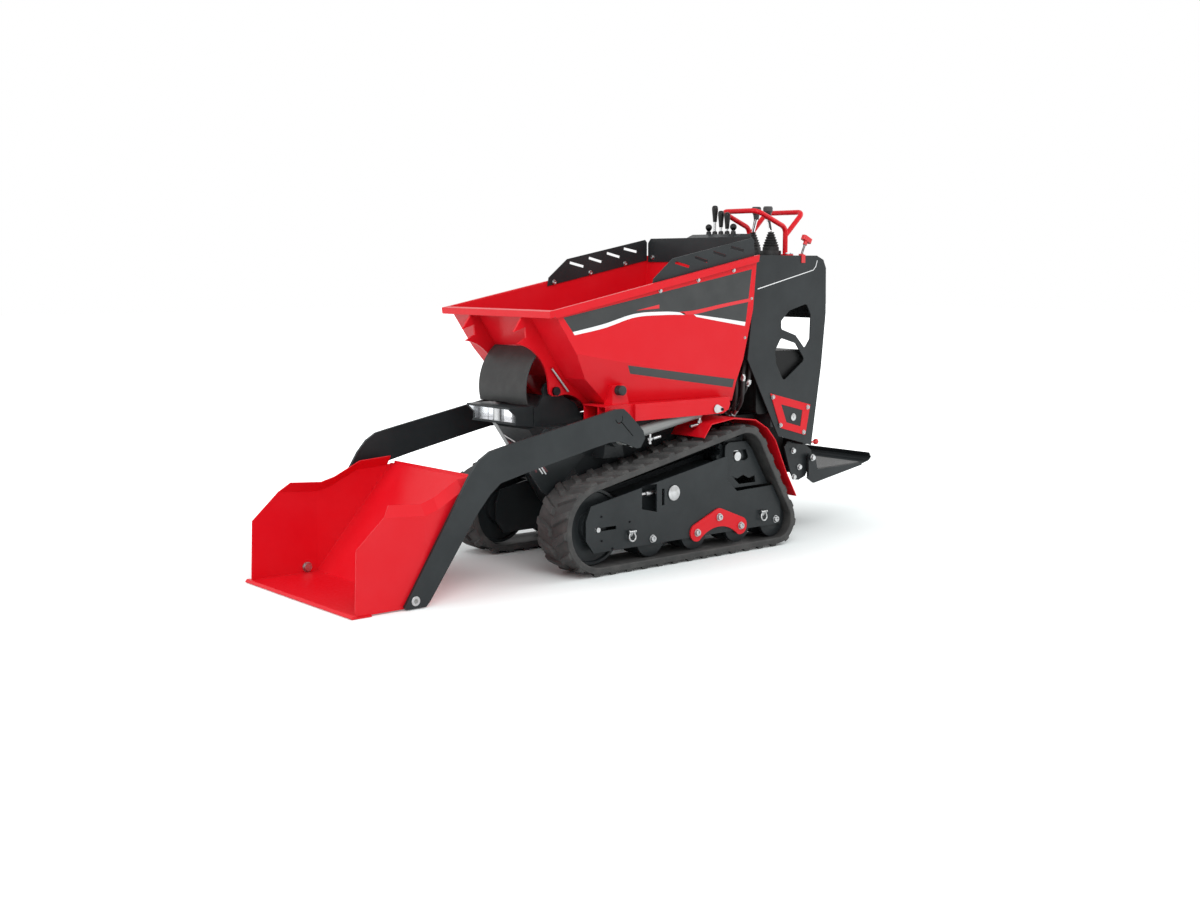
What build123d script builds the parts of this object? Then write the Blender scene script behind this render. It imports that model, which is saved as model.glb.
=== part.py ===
"""Tracked mini dumper with a self-loading shovel and a front-tipping skip.

Lengths are millimetres.  +X is the working end with the shovel, +Y the machine's
left and +Z is up.  The origin lies on the ground, in the middle of the machine's
length and width.  Side outlines are lists of (x, z) points; a distance "y" is
measured from the middle plane.  Pieces that come in pairs are drawn on the left
and mirrored to the right.
"""

from build123d import *
import math
import os

os.makedirs("parts", exist_ok=True)

# ------------------------------------------------------------- driving dimensions
HALF_LENGTH = 1405.0  # the cutting edge in front and the platform's heel behind
SHEET = 4.0  # folded sheet
PLATE = 10.0  # flame-cut plate

ARM_PIVOT = (153.0, 515.0)
ARM_INNER = 376.5
ARM_OUTER = 388.5
ARM_BOLT = (1153.0, 30.0)
SHAFT_RADIUS = 20.0

SKIP_HINGE = (372.0, 695.0)
SKIP_HALF_WIDTH = 335.0
SKIP_RIM = 15.0
TIP_EYE = (-319.0, 598.0)
CYLINDER_Y = 318.0

TRACK_INNER = 210.0
TRACK_OUTER = 390.0
TRACK_MIDDLE = (TRACK_INNER + TRACK_OUTER) / 2
BELT = 24.0
LUG_HEIGHT = 12.0
# Belt drums (x, z, outer radius of the belt round them), anticlockwise seen from the right.
IDLER = (318.0, 184.0, 172.0)
SPROCKET = (-449.0, 392.0, 125.0)
REAR_ROLLER = (-650.0, 109.0, 97.0)
ROLLERS = ((38.0, 109.0), (-197.0, 109.0), (-444.0, 109.0), (-650.0, 109.0))
ROLLER_RADIUS = 71.0
CROSS_AXLE = (-73.0, 280.0)

CHASSIS_HALF_WIDTH = 195.0
DECK = 560.0
BELLY = 190.0
CONSOLE_OUTER = 290.0
CONSOLE_TOP = 1213.0
LEVER_PIVOT = (-928.0, 1225.0)
LEVER_Y = 55.0
PLATFORM_HINGE = (-1000.0, 332.0)
PLATFORM_HALF_WIDTH = 250.0

RUNNING_FIT = 0.3


# ---------------------------------------------------------------- drawing helpers
def side_plane(y):
    """Plane at distance y with sketch axes X and Z; an extrusion runs towards -Y."""
    return Plane(origin=(0, y, 0), x_dir=(1, 0, 0), z_dir=(0, -1, 0))


def plate(points, y_low, y_high, radius=0.0, mode=Mode.ADD):
    """Extrude a closed (x, z) outline from y_low to y_high, with rounded corners if asked."""
    with BuildSketch(side_plane(y_high)) as outline:
        with BuildLine():
            if radius:
                FilletPolyline(*points, radius=radius, close=True)
            else:
                Polyline(*points, close=True)
        make_face()
    extrude(outline.sketch, amount=y_high - y_low, mode=mode)


def drum(centre, radius, y_low, y_high, mode=Mode.ADD):
    """Extrude a circle round the (x, z) centre from y_low to y_high."""
    with BuildSketch(side_plane(y_high)) as circle:
        with Locations(centre):
            Circle(radius)
    extrude(circle.sketch, amount=y_high - y_low, mode=mode)


def turned(centre, profile, mode=Mode.ADD):
    """Revolve (y, radius) points about the crosswise line through the (x, z) centre."""
    x, z = centre
    with BuildSketch(Plane(origin=(x, 0, z), x_dir=(0, 1, 0), z_dir=(1, 0, 0))) as section:
        with BuildLine():
            Polyline(*profile, close=True)
        make_face()
    revolve(section.sketch, axis=Axis((x, 0, z), (0, 1, 0)), mode=mode)


def upright(foot, profile):
    """Revolve (radius, height) points about the vertical line through the foot (x, y, z)."""
    with BuildSketch(Plane(origin=foot, x_dir=(1, 0, 0), z_dir=(0, -1, 0))) as section:
        with BuildLine():
            Polyline(*profile, close=True)
        make_face()
    revolve(section.sketch, axis=Axis(foot, (0, 0, 1)))


def tube(points, radius, bend):
    """Sweep a round bar along straight runs joined by bends."""
    with BuildLine() as route:
        FilletPolyline(*points, radius=bend)
    path = route.wire()
    with BuildSketch(Plane(origin=path @ 0, z_dir=path % 0)) as section:
        Circle(radius)
    sweep(section.sketch, path=path)


def folded(points, y_low, y_high, bend=0.0, thickness=SHEET):
    """Extrude a sheet whose side view is an open (x, z) line, folded sharp or with bends."""
    with BuildSketch(side_plane(y_high)) as outline:
        with BuildLine() as line:
            if bend:
                FilletPolyline(*points, radius=bend)
            else:
                Polyline(*points)
        trace(line.line, line_width=thickness)
    extrude(outline.sketch, amount=y_high - y_low)


def slot_points(start, end, width):
    """Corners of a straight slot of the given width between two (x, z) points."""
    along = Vector(end[0] - start[0], end[1] - start[1]).normalized()
    side = Vector(-along.Y, along.X) * (width / 2)
    return [
        (start[0] + side.X, start[1] + side.Y),
        (start[0] - side.X, start[1] - side.Y),
        (end[0] - side.X, end[1] - side.Y),
        (end[0] + side.X, end[1] + side.Y),
    ]


def write(part, name):
    """Label a finished piece and write it to its own STEP file."""
    part.label = name
    export_step(part, f"parts/{name}.step")


def write_pair(part, name):
    """Write a left-hand piece and its mirror image."""
    write(mirror(part, about=Plane.XZ), name + "_right")
    write(part, name + "_left")


# ------------------------------------------------------------------ rubber tracks
def tangent_angle(first, second):
    """Angle of the outward normal where a belt leaves one drum for the next."""
    dx = second[0] - first[0]
    dz = second[1] - first[1]
    lean = math.asin((first[2] - second[2]) / math.hypot(dx, dz))
    return math.atan2(dz, dx) - math.pi / 2 + lean


def on_drum(drum_circle, growth, angle):
    """Point of a drum's belt, moved outwards by growth, at an angle from +X."""
    x, z, radius = drum_circle
    reach = radius + growth
    return (x + reach * math.cos(angle), z + reach * math.sin(angle))


def belt_line(growth):
    """Closed line of arcs and straights round the three drums; called inside BuildLine."""
    drums = (IDLER, SPROCKET, REAR_ROLLER)
    for i, here in enumerate(drums):
        before = drums[i - 1]
        after = drums[(i + 1) % 3]
        start = tangent_angle(before, here)
        end = tangent_angle(here, after)
        if end < start:
            end += 2 * math.pi
        middle = (start + end) / 2
        arc = [on_drum(here, growth, angle) for angle in (start, middle, end)]
        ThreePointArc(*arc)
        Line(arc[2], on_drum(after, growth, end))


LUG_COUNT = 36  # in each row, all the way round
LUG_LENGTH = 34.0  # along the travel
LUG_SLANT = 44.0  # how far one end of a lug leads the other
LUG_ROOT = 13.0  # how deep a lug is rooted in the belt
# Lug rows: distance of the row's middle, direction of the slant, start along the loop.
LUG_ROWS = ((TRACK_MIDDLE + 45.0, 1, 0.0), (TRACK_MIDDLE - 45.0, -1, 0.5))
LUG_WIDTH = 90.0
INSIDE_LOOP = (-260.0, 230.0)

with BuildLine() as tread_line:
    belt_line(0.0)
tread_path = tread_line.wire()


def lug_plane(y, fraction):
    """Plane rooted in the belt at a fraction of its loop, facing outwards."""
    point = tread_path @ fraction
    heading = tread_path % fraction
    normal = Vector(heading.Y, -heading.X)
    if normal.dot(point - Vector(*INSIDE_LOOP)) < 0:
        normal = -normal
    root = point - normal * LUG_ROOT
    return Plane(
        origin=(root.X, y, root.Y),
        x_dir=(heading.X, 0, heading.Y),
        z_dir=(normal.X, 0, normal.Y),
    )


with BuildPart() as track:
    for row_y, slant, phase in LUG_ROWS:
        lead = slant * LUG_SLANT / 2
        corners = [
            (-LUG_LENGTH / 2 - lead, -LUG_WIDTH / 2),
            (LUG_LENGTH / 2 - lead, -LUG_WIDTH / 2),
            (LUG_LENGTH / 2 + lead, LUG_WIDTH / 2),
            (-LUG_LENGTH / 2 + lead, LUG_WIDTH / 2),
        ]
        places = [lug_plane(row_y, (k + phase) / LUG_COUNT) for k in range(LUG_COUNT)]
        with BuildSketch(*places):
            with BuildLine():
                Polyline(*corners, close=True)
            make_face()
    extrude(amount=LUG_ROOT + 2 * LUG_HEIGHT)
    with BuildSketch(side_plane(TRACK_OUTER)) as envelope:
        with BuildLine():
            belt_line(LUG_HEIGHT)
        make_face()
    extrude(envelope.sketch, amount=TRACK_OUTER - TRACK_INNER, mode=Mode.INTERSECT)
    with BuildSketch(side_plane(TRACK_OUTER)) as belt:
        with BuildLine():
            belt_line(0.0)
        make_face()
        with BuildLine():
            belt_line(-BELT)
        make_face(mode=Mode.SUBTRACT)
    extrude(belt.sketch, amount=TRACK_OUTER - TRACK_INNER)
write_pair(track.part, "track")

# ------------------------------------------------------------------- track frames
FRAME_OUTER = 360.0
FRAME_INNER = 215.0
FRAME_SKIN = 8.0
# Outline of the side plates, from the front clockwise over the top.
FRAME_OUTLINE = (
    (375, 140), (375, 214), (351, 269), (-349, 398), (-369, 398), (-369, 304),
    (-428, 252), (-638, 257), (-688, 180), (-688, 90), (337, 88),
)
FRAME_CORE = ((160, 190), (160, 285), (-340, 378), (-340, 190))
CORE_POCKET = ((-40, 196), (-40, 322), (104, 322), (104, 196))
FRAME_WINDOW = ((94, 232), (94, 324), (15, 324), (15, 213))
FRAME_SLOT = ((-11, 236), (-11, 302), (-25, 302), (-25, 236))
LASHING_EYES = ((155, 134), (-574, 134))
LASHING_RADIUS = 9.0
TENSION_SLOT = ((330, 169), (330, 183), (225, 183), (225, 169))

with BuildPart() as track_frame:
    plate(FRAME_OUTLINE, FRAME_OUTER - FRAME_SKIN, FRAME_OUTER)
    plate(FRAME_OUTLINE, FRAME_INNER, FRAME_INNER + FRAME_SKIN)
    plate(FRAME_CORE, FRAME_INNER + FRAME_SKIN, FRAME_OUTER - FRAME_SKIN)
    plate(CORE_POCKET, FRAME_OUTER - 60, FRAME_OUTER - FRAME_SKIN, mode=Mode.SUBTRACT)
    for opening in (FRAME_WINDOW, FRAME_SLOT, TENSION_SLOT):
        plate(opening, FRAME_OUTER - FRAME_SKIN, FRAME_OUTER, mode=Mode.SUBTRACT)
    drum(CROSS_AXLE, 30.0, FRAME_INNER, FRAME_OUTER, mode=Mode.SUBTRACT)
    for eye in LASHING_EYES:
        drum(eye, LASHING_RADIUS, FRAME_OUTER - FRAME_SKIN, FRAME_OUTER, mode=Mode.SUBTRACT)
write_pair(track_frame.part, "track_frame")

# Distance and radius of a road roller's and of the idler's profile, from inside outwards.
ROLLER_PROFILE = (
    (224, 0), (224, 26), (236, 26), (240, ROLLER_RADIUS), (272, ROLLER_RADIUS), (276, 50),
    (324, 50), (328, ROLLER_RADIUS), (346, ROLLER_RADIUS), (350, 40), (350, 0),
)
with BuildPart() as road_rollers:
    for place in ROLLERS:
        turned(place, ROLLER_PROFILE)
    mirror(about=Plane.XZ)
write(road_rollers.part, "road_rollers")

IDLER_PROFILE = (
    (224, 0), (224, 24), (262, 24), (262, 60), (280, 66), (280, 132), (270, 136), (270, 146),
    (330, 146), (330, 136), (320, 132), (320, 66), (338, 60), (338, 24), (351, 24), (351, 0),
)
with BuildPart() as idler:
    turned((IDLER[0], IDLER[1]), IDLER_PROFILE)
    mirror(about=Plane.XZ)
write(idler.part, "idler_wheels")

SPROCKET_TEETH = 12
SPROCKET_ROOT = 80.0
SPROCKET_TIP = 98.0
with BuildPart() as sprocket:
    with BuildSketch(side_plane(316.0)) as gear:
        with Locations((SPROCKET[0], SPROCKET[1])):
            Circle(SPROCKET_ROOT)
            with PolarLocations(SPROCKET_ROOT, SPROCKET_TEETH):
                Polygon((-6, -13), (24, -8), (24, 8), (-6, 13), align=None)
        with Locations((SPROCKET[0], SPROCKET[1])):
            Circle(SPROCKET_TIP, mode=Mode.INTERSECT)
    extrude(gear.sketch, amount=32.0)
    # final drive between the chassis and the toothed ring, and the hub outside it
    turned(
        (SPROCKET[0], SPROCKET[1]),
        ((195, 0), (195, 60), (225, 60), (225, 52), (322, 52), (322, 0)),
    )
    mirror(about=Plane.XZ)
write(sprocket.part, "drive_sprockets")

# Plate over the sprocket, set back from the side plate, with its two openings.
GUARD_FACE = 336.0
GUARD_OUTLINE = (
    (-375, 304), (-382, 440), (-400, 452), (-494, 452), (-534, 420), (-632, 262), (-428, 262),
)
GUARD_HOLE = ((-423, 417), (-501, 418), (-518, 381), (-496, 371), (-434, 380))
GUARD_CUT = ((-419, 312), (-453, 300), (-486, 312), (-520, 296), (-554, 304), (-560, 275), (-464, 275))
with BuildPart() as sprocket_guard:
    plate(GUARD_OUTLINE, GUARD_FACE - 6, GUARD_FACE)
    plate(GUARD_HOLE, GUARD_FACE - 6, GUARD_FACE, radius=10, mode=Mode.SUBTRACT)
    plate(GUARD_CUT, GUARD_FACE - 6, GUARD_FACE, mode=Mode.SUBTRACT)
    mirror(about=Plane.XZ)
write(sprocket_guard.part, "sprocket_guards")

ROCKER_BOLTS = ((-197, 107), (-320, 157), (-444, 108))
with BuildPart() as rocker:
    with BuildSketch(side_plane(FRAME_OUTER + 7)) as boomerang:
        with Locations(*ROCKER_BOLTS):
            Circle(36)
        for first, second in zip(ROCKER_BOLTS, ROCKER_BOLTS[1:]):
            with BuildLine():
                Polyline(*slot_points(first, second, 72), close=True)
            make_face()
        with Locations((-320, -40)):
            Circle(158, mode=Mode.SUBTRACT)
    extrude(boomerang.sketch, amount=7)
    mirror(about=Plane.XZ)
write(rocker.part, "rocker_plates")

# -------------------------------------------------------------------- fenders
FENDER_LINE = (
    (-212, 490), (-252, 542), (-375, 557), (-503, 543), (-574, 503), (-623, 449),
    (-687, 317), (-755, 203),
)
with BuildPart() as fender:
    folded(FENDER_LINE, CHASSIS_HALF_WIDTH, 388.0, bend=8.0)
    mirror(about=Plane.XZ)
write(fender.part, "fenders")

# -------------------------------------------------------------------- chassis
HULL = (
    (200, 240), (294, 339), (385, 460), (445, 546), (440, DECK), (-480, DECK), (-480, 300),
    (-905, 300), (-905, BELLY + 20), (-880, BELLY), (150, BELLY),
)
NOSE_SIDE = ((515, 392), (500, 470), (455, 546), (440, DECK - 1), (250, 440), (420, 298), (458, 315))
# Both front corners of the nose are cut off along its rake: the corner in plan at deck height.
NOSE_CORNER = ((456, 100), (456, CHASSIS_HALF_WIDTH + 1), (413, CHASSIS_HALF_WIDTH + 1))
NOSE_RAKE = Vector(-60, 0, -86)
NOSE_CUT = 420.0
BEARING_OUTER = 290.0
BEARING_FOOT = ((100, 430), (206, 430), (190, 515), (116, 515))
with BuildPart() as chassis_frame:
    # bearings of the arm shaft and the cross axle
    plate(BEARING_FOOT, CHASSIS_HALF_WIDTH, BEARING_OUTER - 30)
    drum(ARM_PIVOT, 42.0, CHASSIS_HALF_WIDTH, BEARING_OUTER)
    drum(CROSS_AXLE, 29.8, CHASSIS_HALF_WIDTH, FRAME_OUTER + 3)
    mirror(about=Plane.XZ)
    plate(HULL, -CHASSIS_HALF_WIDTH, CHASSIS_HALF_WIDTH)
    with BuildSketch(Plane.XY.offset(DECK + 1)) as corners:
        with BuildLine():
            Polyline(*NOSE_CORNER, close=True)
        make_face()
        mirror(about=Plane.XZ)
    extrude(corners.sketch, amount=NOSE_CUT, dir=NOSE_RAKE.normalized(), mode=Mode.SUBTRACT)
    # the left side alone has a plate beside the nose
    plate(NOSE_SIDE, CHASSIS_HALF_WIDTH, CHASSIS_HALF_WIDTH + 6)
    drum(ARM_PIVOT, SHAFT_RADIUS + RUNNING_FIT, -300, 300, mode=Mode.SUBTRACT)
write(chassis_frame.part, "chassis_frame")

# Tower that carries the skip's hinge, with the rounded cover between its cheeks.
TOWER_OUTER = 142.0
TOWER_SKIN = 12.0
TOWER = ((200, DECK), (250, 640), (345, 690), (400, 690), (430, 640), (452, 632), (452, DECK))
with BuildPart() as hinge_tower:
    for y_low in (-TOWER_OUTER, TOWER_OUTER - TOWER_SKIN):
        plate(TOWER, y_low, y_low + TOWER_SKIN)
        drum(SKIP_HINGE, 34.0, y_low, y_low + TOWER_SKIN)
    with BuildSketch(side_plane(TOWER_OUTER - TOWER_SKIN)) as cover:
        with BuildLine():
            cover_arc = CenterArc((324, DECK), 108, 0, 180)
            Line(cover_arc @ 0, cover_arc @ 1)
        make_face()
    extrude(cover.sketch, amount=2 * (TOWER_OUTER - TOWER_SKIN))
    drum(SKIP_HINGE, 12.0 + RUNNING_FIT, -TOWER_OUTER, TOWER_OUTER, mode=Mode.SUBTRACT)
write(hinge_tower.part, "hinge_tower")

EAR_OUTER = 172.0
with BuildPart() as hinge_pins:
    turned(
        SKIP_HINGE,
        ((112, 0), (112, 12), (174, 12), (174, 17), (184, 17), (184, 0)),
    )
    mirror(about=Plane.XZ)
write(hinge_pins.part, "skip_hinge_pins")

# Open-fronted tool bracket on the nose, with its bright lining and post.
BRACKET = ((566, 640), (566, 632), (536, 606), (536, 580), (541, 572), (455, 560), (455, 640))
with BuildPart() as front_bracket:
    plate(BRACKET, 132, 140)
    mirror(about=Plane.XZ)
    plate(((566, 640), (566, 632), (455, 632), (455, 640)), -132, 132)
    plate(((541, 580), (541, 572), (455, 572), (455, 580)), -132, 132)
write(front_bracket.part, "front_bracket")

with BuildPart() as bracket_lining:
    plate(((470, 631.5), (470, 580.5), (463, 580.5), (463, 631.5)), -131.5, 131.5)
    with BuildSketch(Plane.XY.offset(580.5)) as post:
        with Locations((515, 0)):
            Circle(20)
    extrude(post.sketch, amount=51)
write(bracket_lining.part, "bracket_lining")

# -------------------------------------------------------------------- power pack
with BuildPart() as engine_block:
    plate(((-880, 300.5), (-880, 540), (-560, 540), (-560, 300.5)), -190, 190)
write(engine_block.part, "engine_block")

# Tanks: side, inner and outer distance, height.
TANK_FRONT = -625.0
TANK_REAR = -925.0
TANK_FLOOR = 548.0
with BuildPart() as oil_tank:
    plate(
        ((TANK_REAR, TANK_FLOOR), (TANK_REAR, 812), (TANK_FRONT, 812), (TANK_FRONT, TANK_FLOOR)),
        60, 270, radius=20,
    )
    upright((-775, 165, 811), ((0, 0), (26, 0), (26, 10), (40, 10), (40, 24), (0, 24)))
write(oil_tank.part, "oil_tank")

with BuildPart() as fuel_tank:
    plate(
        ((TANK_REAR, TANK_FLOOR), (TANK_REAR, 760), (TANK_FRONT, 760), (TANK_FRONT, TANK_FLOOR)),
        -270, -60, radius=20,
    )
    upright((-775, -165, 759), ((0, 0), (24, 0), (24, 8), (34, 8), (34, 22), (0, 22)))
write(fuel_tank.part, "fuel_tank")

# -------------------------------------------------------------------- console
PANEL_OUTLINE = (
    (-578, CONSOLE_TOP), (-967, CONSOLE_TOP), (-1010, 1195), (-1027, 1160), (-1031, 967),
    (-1007, 738), (-952, 395), (-743, 450), (-552, 783), (-578, 1000),
)
PANEL_UPPER_CUT = (
    (-908, 1009), (-800, 981), (-751, 939), (-752, 904), (-841, 876), (-900, 817),
    (-932, 857), (-935, 961),
)
PANEL_LOWER_CUT = ((-716, 813), (-751, 867), (-842, 842), (-902, 769), (-770, 683), (-723, 759))
with BuildPart() as console_panel:
    plate(PANEL_OUTLINE, CONSOLE_OUTER - 5, CONSOLE_OUTER)
    plate(PANEL_UPPER_CUT, CONSOLE_OUTER - 5, CONSOLE_OUTER, radius=12, mode=Mode.SUBTRACT)
    plate(PANEL_LOWER_CUT, CONSOLE_OUTER - 5, CONSOLE_OUTER, radius=16, mode=Mode.SUBTRACT)
    mirror(about=Plane.XZ)
write(console_panel.part, "console_panels")

CONSOLE_LINE = ((-580, 783), (-580, 1211), (-967, 1211), (-1008, 1193), (-1025, 1160), (-1029, 943))
with BuildPart() as console_shell:
    folded(CONSOLE_LINE, -(CONSOLE_OUTER - 5), CONSOLE_OUTER - 5, bend=10.0)
    for y in (-LEVER_Y, LEVER_Y):
        upright((LEVER_PIVOT[0], y, 1212), ((42, 0), (45, 0), (45, 9), (42, 9)))
write(console_shell.part, "console_shell")

# Cross members under the console, with the brackets and pins of the platform's hinge.
BRACKET_OUTLINE = (
    (-846, 390), (-865, 408), (-955, 408), (-1020, 362), (-1028, 332), (-1014, 306),
    (-983, 250), (-940, 236), (-912, 240), (-888, 277),
)
PLATFORM_BRACKET_Y = 222.0
PANEL_FOOT = ((-700, 492), (-700, 545), (-760, 545), (-760, 478))
with BuildPart() as console_base:
    plate(PANEL_FOOT, CHASSIS_HALF_WIDTH - 4.5, CONSOLE_OUTER - 5)
    mirror(about=Plane.XZ)
write(console_base.part, "console_feet")

with BuildPart() as platform_bracket:
    plate(BRACKET_OUTLINE, PLATFORM_BRACKET_Y, PLATFORM_BRACKET_Y + 8)
    drum(PLATFORM_HINGE, 10.0, PLATFORM_BRACKET_Y - 12, PLATFORM_HALF_WIDTH + 6)
    mirror(about=Plane.XZ)
    plate(
        ((-905.5, 270), (-905.5, 400), (-935, 400), (-935, 270)),
        -PLATFORM_BRACKET_Y, PLATFORM_BRACKET_Y,
    )
    plate(
        ((-905.5, 400), (-905.5, 420), (-940, 408), (-940, 400)),
        -CONSOLE_OUTER + 5, CONSOLE_OUTER - 5,
    )
write(platform_bracket.part, "platform_mount")

DASH_HALF_WIDTH = 150.0
DASH = ((-584, CONSOLE_TOP), (-584, 1278), (-650, 1304), (-705, 1304), (-730, 1240), (-730, CONSOLE_TOP))
with BuildPart() as dash:
    plate(DASH, -DASH_HALF_WIDTH, DASH_HALF_WIDTH)
write(dash.part, "lever_dash")

# Access plates: the outline, its blank inset and the round lock.
ACCESS = ((-689, 635), (-939, 573), (-910, 442), (-754, 484))
ACCESS_INSET = ((-755, 585), (-890, 552), (-878, 482), (-790, 505))
with BuildPart() as access_plate:
    plate(ACCESS, CONSOLE_OUTER, CONSOLE_OUTER + 3)
    plate(ACCESS_INSET, CONSOLE_OUTER + 1.5, CONSOLE_OUTER + 3, mode=Mode.SUBTRACT)
    drum((-832, 525), 15.0, CONSOLE_OUTER + 1.5, CONSOLE_OUTER + 5)
    mirror(about=Plane.XZ)
write(access_plate.part, "access_plates")

# Lever bank: place across, height of the grip's top and its widest radius.
BANK = ((-75, 1346, 13), (-37.5, 1427, 12), (0, 1390, 12), (37.5, 1383, 12), (75, 1346, 13))
BANK_X = -675.0
with BuildPart() as lever_bank:
    for y, top, grip in BANK:
        rise = top - 1304
        grip_low = rise - 2.1 * grip if rise < 60 else rise - 52
        upright(
            (BANK_X, y, 1304),
            (
                (0, 0), (12, 0), (10, 12), (5, 14), (5, grip_low), (grip * 0.6, grip_low),
                (grip, rise - grip * 1.1), (grip * 0.75, rise - 2), (grip * 0.3, rise), (0, rise),
            ),
        )
write(lever_bank.part, "lever_bank")

HANDLE_X = -961.0
HANDLE_Y = 110.0
HANDLE_RADIUS = 11.0
with BuildPart() as handlebar:
    tube(
        (
            (HANDLE_X, HANDLE_Y, 1219), (HANDLE_X, HANDLE_Y, 1335), (-786, 108, 1405),
            (-786, -108, 1405), (HANDLE_X, -HANDLE_Y, 1335), (HANDLE_X, -HANDLE_Y, 1219),
        ),
        HANDLE_RADIUS, 36.0,
    )
    tube(
        (
            (HANDLE_X, HANDLE_Y, 1300), (-1071, 112, 1404), (-1071, -112, 1404),
            (HANDLE_X, -HANDLE_Y, 1300),
        ),
        HANDLE_RADIUS, 30.0,
    )
    with BuildSketch(Plane.XY.offset(CONSOLE_TOP)) as feet:
        with Locations((HANDLE_X - 2, HANDLE_Y + 10), (HANDLE_X - 2, -HANDLE_Y - 10)):
            RectangleRounded(45, 40, 6)
    extrude(feet.sketch, amount=7)
write(handlebar.part, "handlebar")

# Pull knob that leans back: collar, threaded stem, neck and cross grip.
PULL_FOOT = (-892.0, 268.0, CONSOLE_TOP)
PULL_LEAN = math.radians(25.0)
PULL_AXIS = Plane(
    origin=PULL_FOOT,
    x_dir=(-math.cos(PULL_LEAN), 0, -math.sin(PULL_LEAN)),
    z_dir=(-math.sin(PULL_LEAN), 0, math.cos(PULL_LEAN)),
)
PULL_ROOT = 3.0
PULL_STEM = 50.0
PULL_NECK = 66.0
PULL_TOP = 86.0
with BuildPart() as throttle_pull:
    upright(PULL_FOOT, ((0, 0), (11, 0), (11, 7), (0, 7)))
    with BuildSketch(PULL_AXIS.offset(PULL_ROOT)) as stem:
        Circle(4)
    extrude(stem.sketch, amount=PULL_NECK - PULL_ROOT)
    with BuildSketch(PULL_AXIS.offset(PULL_STEM)) as neck:
        Circle(9)
    extrude(neck.sketch, amount=PULL_NECK - PULL_STEM)
    with BuildSketch(PULL_AXIS.offset(PULL_NECK)) as grip:
        RectangleRounded(52, 24, 8)
    extrude(grip.sketch, amount=PULL_TOP - PULL_NECK)
write(throttle_pull.part, "throttle_pull")

# Ball of the platform's latch, and the clip hooked over the left panel.
LATCH_BALL = (-1006.0, 268.0, 404.0)
with BuildPart() as latch_knobs:
    with BuildSketch(Plane(origin=LATCH_BALL, x_dir=(0, 1, 0), z_dir=(1, 0, 0))) as latch_stem:
        Circle(4)
    extrude(latch_stem.sketch, amount=66)
    with Locations(LATCH_BALL):
        Sphere(13)
    plate(
        ((-868, CONSOLE_TOP + 4), (-890, CONSOLE_TOP + 4), (-890, 1182), (-868, 1182)),
        CONSOLE_OUTER, CONSOLE_OUTER + 4,
    )
    plate(
        ((-868, CONSOLE_TOP + 4), (-890, CONSOLE_TOP + 4), (-890, CONSOLE_TOP), (-868, CONSOLE_TOP)),
        CONSOLE_OUTER - 8, CONSOLE_OUTER,
    )
write(latch_knobs.part, "latch_knobs")

# -------------------------------------------------------------------- drive levers
BELLOWS_FINS = 6
BELLOWS_FOOT = 36.0
BELLOWS_TOP = 12.0
BELLOWS_HEIGHT = 88.0
GRIP_TILT = 22.0


def bellows_profile():
    """Stepped half-section of a rubber bellows, as (radius, height) points."""
    step = BELLOWS_HEIGHT / (BELLOWS_FINS + 2)
    points = [(0, 3), (BELLOWS_FOOT, 3), (BELLOWS_FOOT, 3 + 2 * step)]
    for i in range(BELLOWS_FINS):
        shrink = (i + 1) / BELLOWS_FINS
        radius = BELLOWS_FOOT + (BELLOWS_TOP - BELLOWS_FOOT) * shrink
        height = 3 + (i + 2) * step
        points.append((radius, height + 0.3 * step))
        points.append((radius + 3, height + step))
    points.append((0, points[-1][1]))
    return points


for side, sign in (("left", 1), ("right", -1)):
    foot = (LEVER_PIVOT[0], sign * LEVER_Y, LEVER_PIVOT[1])
    with BuildPart() as bellows:
        upright(foot, bellows_profile())
    write(bellows.part, f"lever_bellows_{side}")

    neck = (LEVER_PIVOT[0], sign * (LEVER_Y - 1), LEVER_PIVOT[1] + 5 + BELLOWS_HEIGHT)
    crown = (LEVER_PIVOT[0], sign * 35.0, 1398.0)
    with BuildPart() as drive_lever:
        with BuildLine() as stem_line:
            Line(neck, crown)
        stem = stem_line.wire()
        with BuildSketch(Plane(origin=stem @ 0, z_dir=stem % 0)) as bar:
            Circle(6)
        sweep(bar.sketch, path=stem)
        upright(
            (crown[0], crown[1], crown[2] - 26),
            ((0, 0), (11, 0), (14, 20), (21, 34), (21, 50), (17, 56), (0, 56)),
        )
    write(drive_lever.part, f"drive_lever_{side}")

# -------------------------------------------------------------------- platform
EAR = ((-985, 240), (-1020, 217), (-1060, 224), (-1060, 270), (-1043, 270), (-1022, 345), (-982, 345))
TRAY_SIDE = ((-972, 246), (-1020, 217), (-1341, 270), (-1341, 276), (-1043, 276), (-1010, 262))
TRAY_LINE = ((-1043, 272), (-1341, 277), (-1386, 287), (-1404, 301), (-1391, 322))
with BuildPart() as platform_tray:
    folded(TRAY_LINE, -PLATFORM_HALF_WIDTH, PLATFORM_HALF_WIDTH, bend=4.0)
    for y_low in (-PLATFORM_HALF_WIDTH, PLATFORM_HALF_WIDTH - SHEET):
        plate(TRAY_SIDE, y_low, y_low + SHEET)
    for y_low in (-PLATFORM_HALF_WIDTH, PLATFORM_HALF_WIDTH - 12):
        plate(EAR, y_low, y_low + 12)
    drum(PLATFORM_HINGE, 10.0 + RUNNING_FIT, -260, 260, mode=Mode.SUBTRACT)
write(platform_tray.part, "platform_tray")

with BuildPart() as platform_mat:
    plate(((-1062, 274.5), (-1062, 279), (-1336, 283.5), (-1336, 279)), -236, 236)
write(platform_mat.part, "platform_mat")

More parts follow.
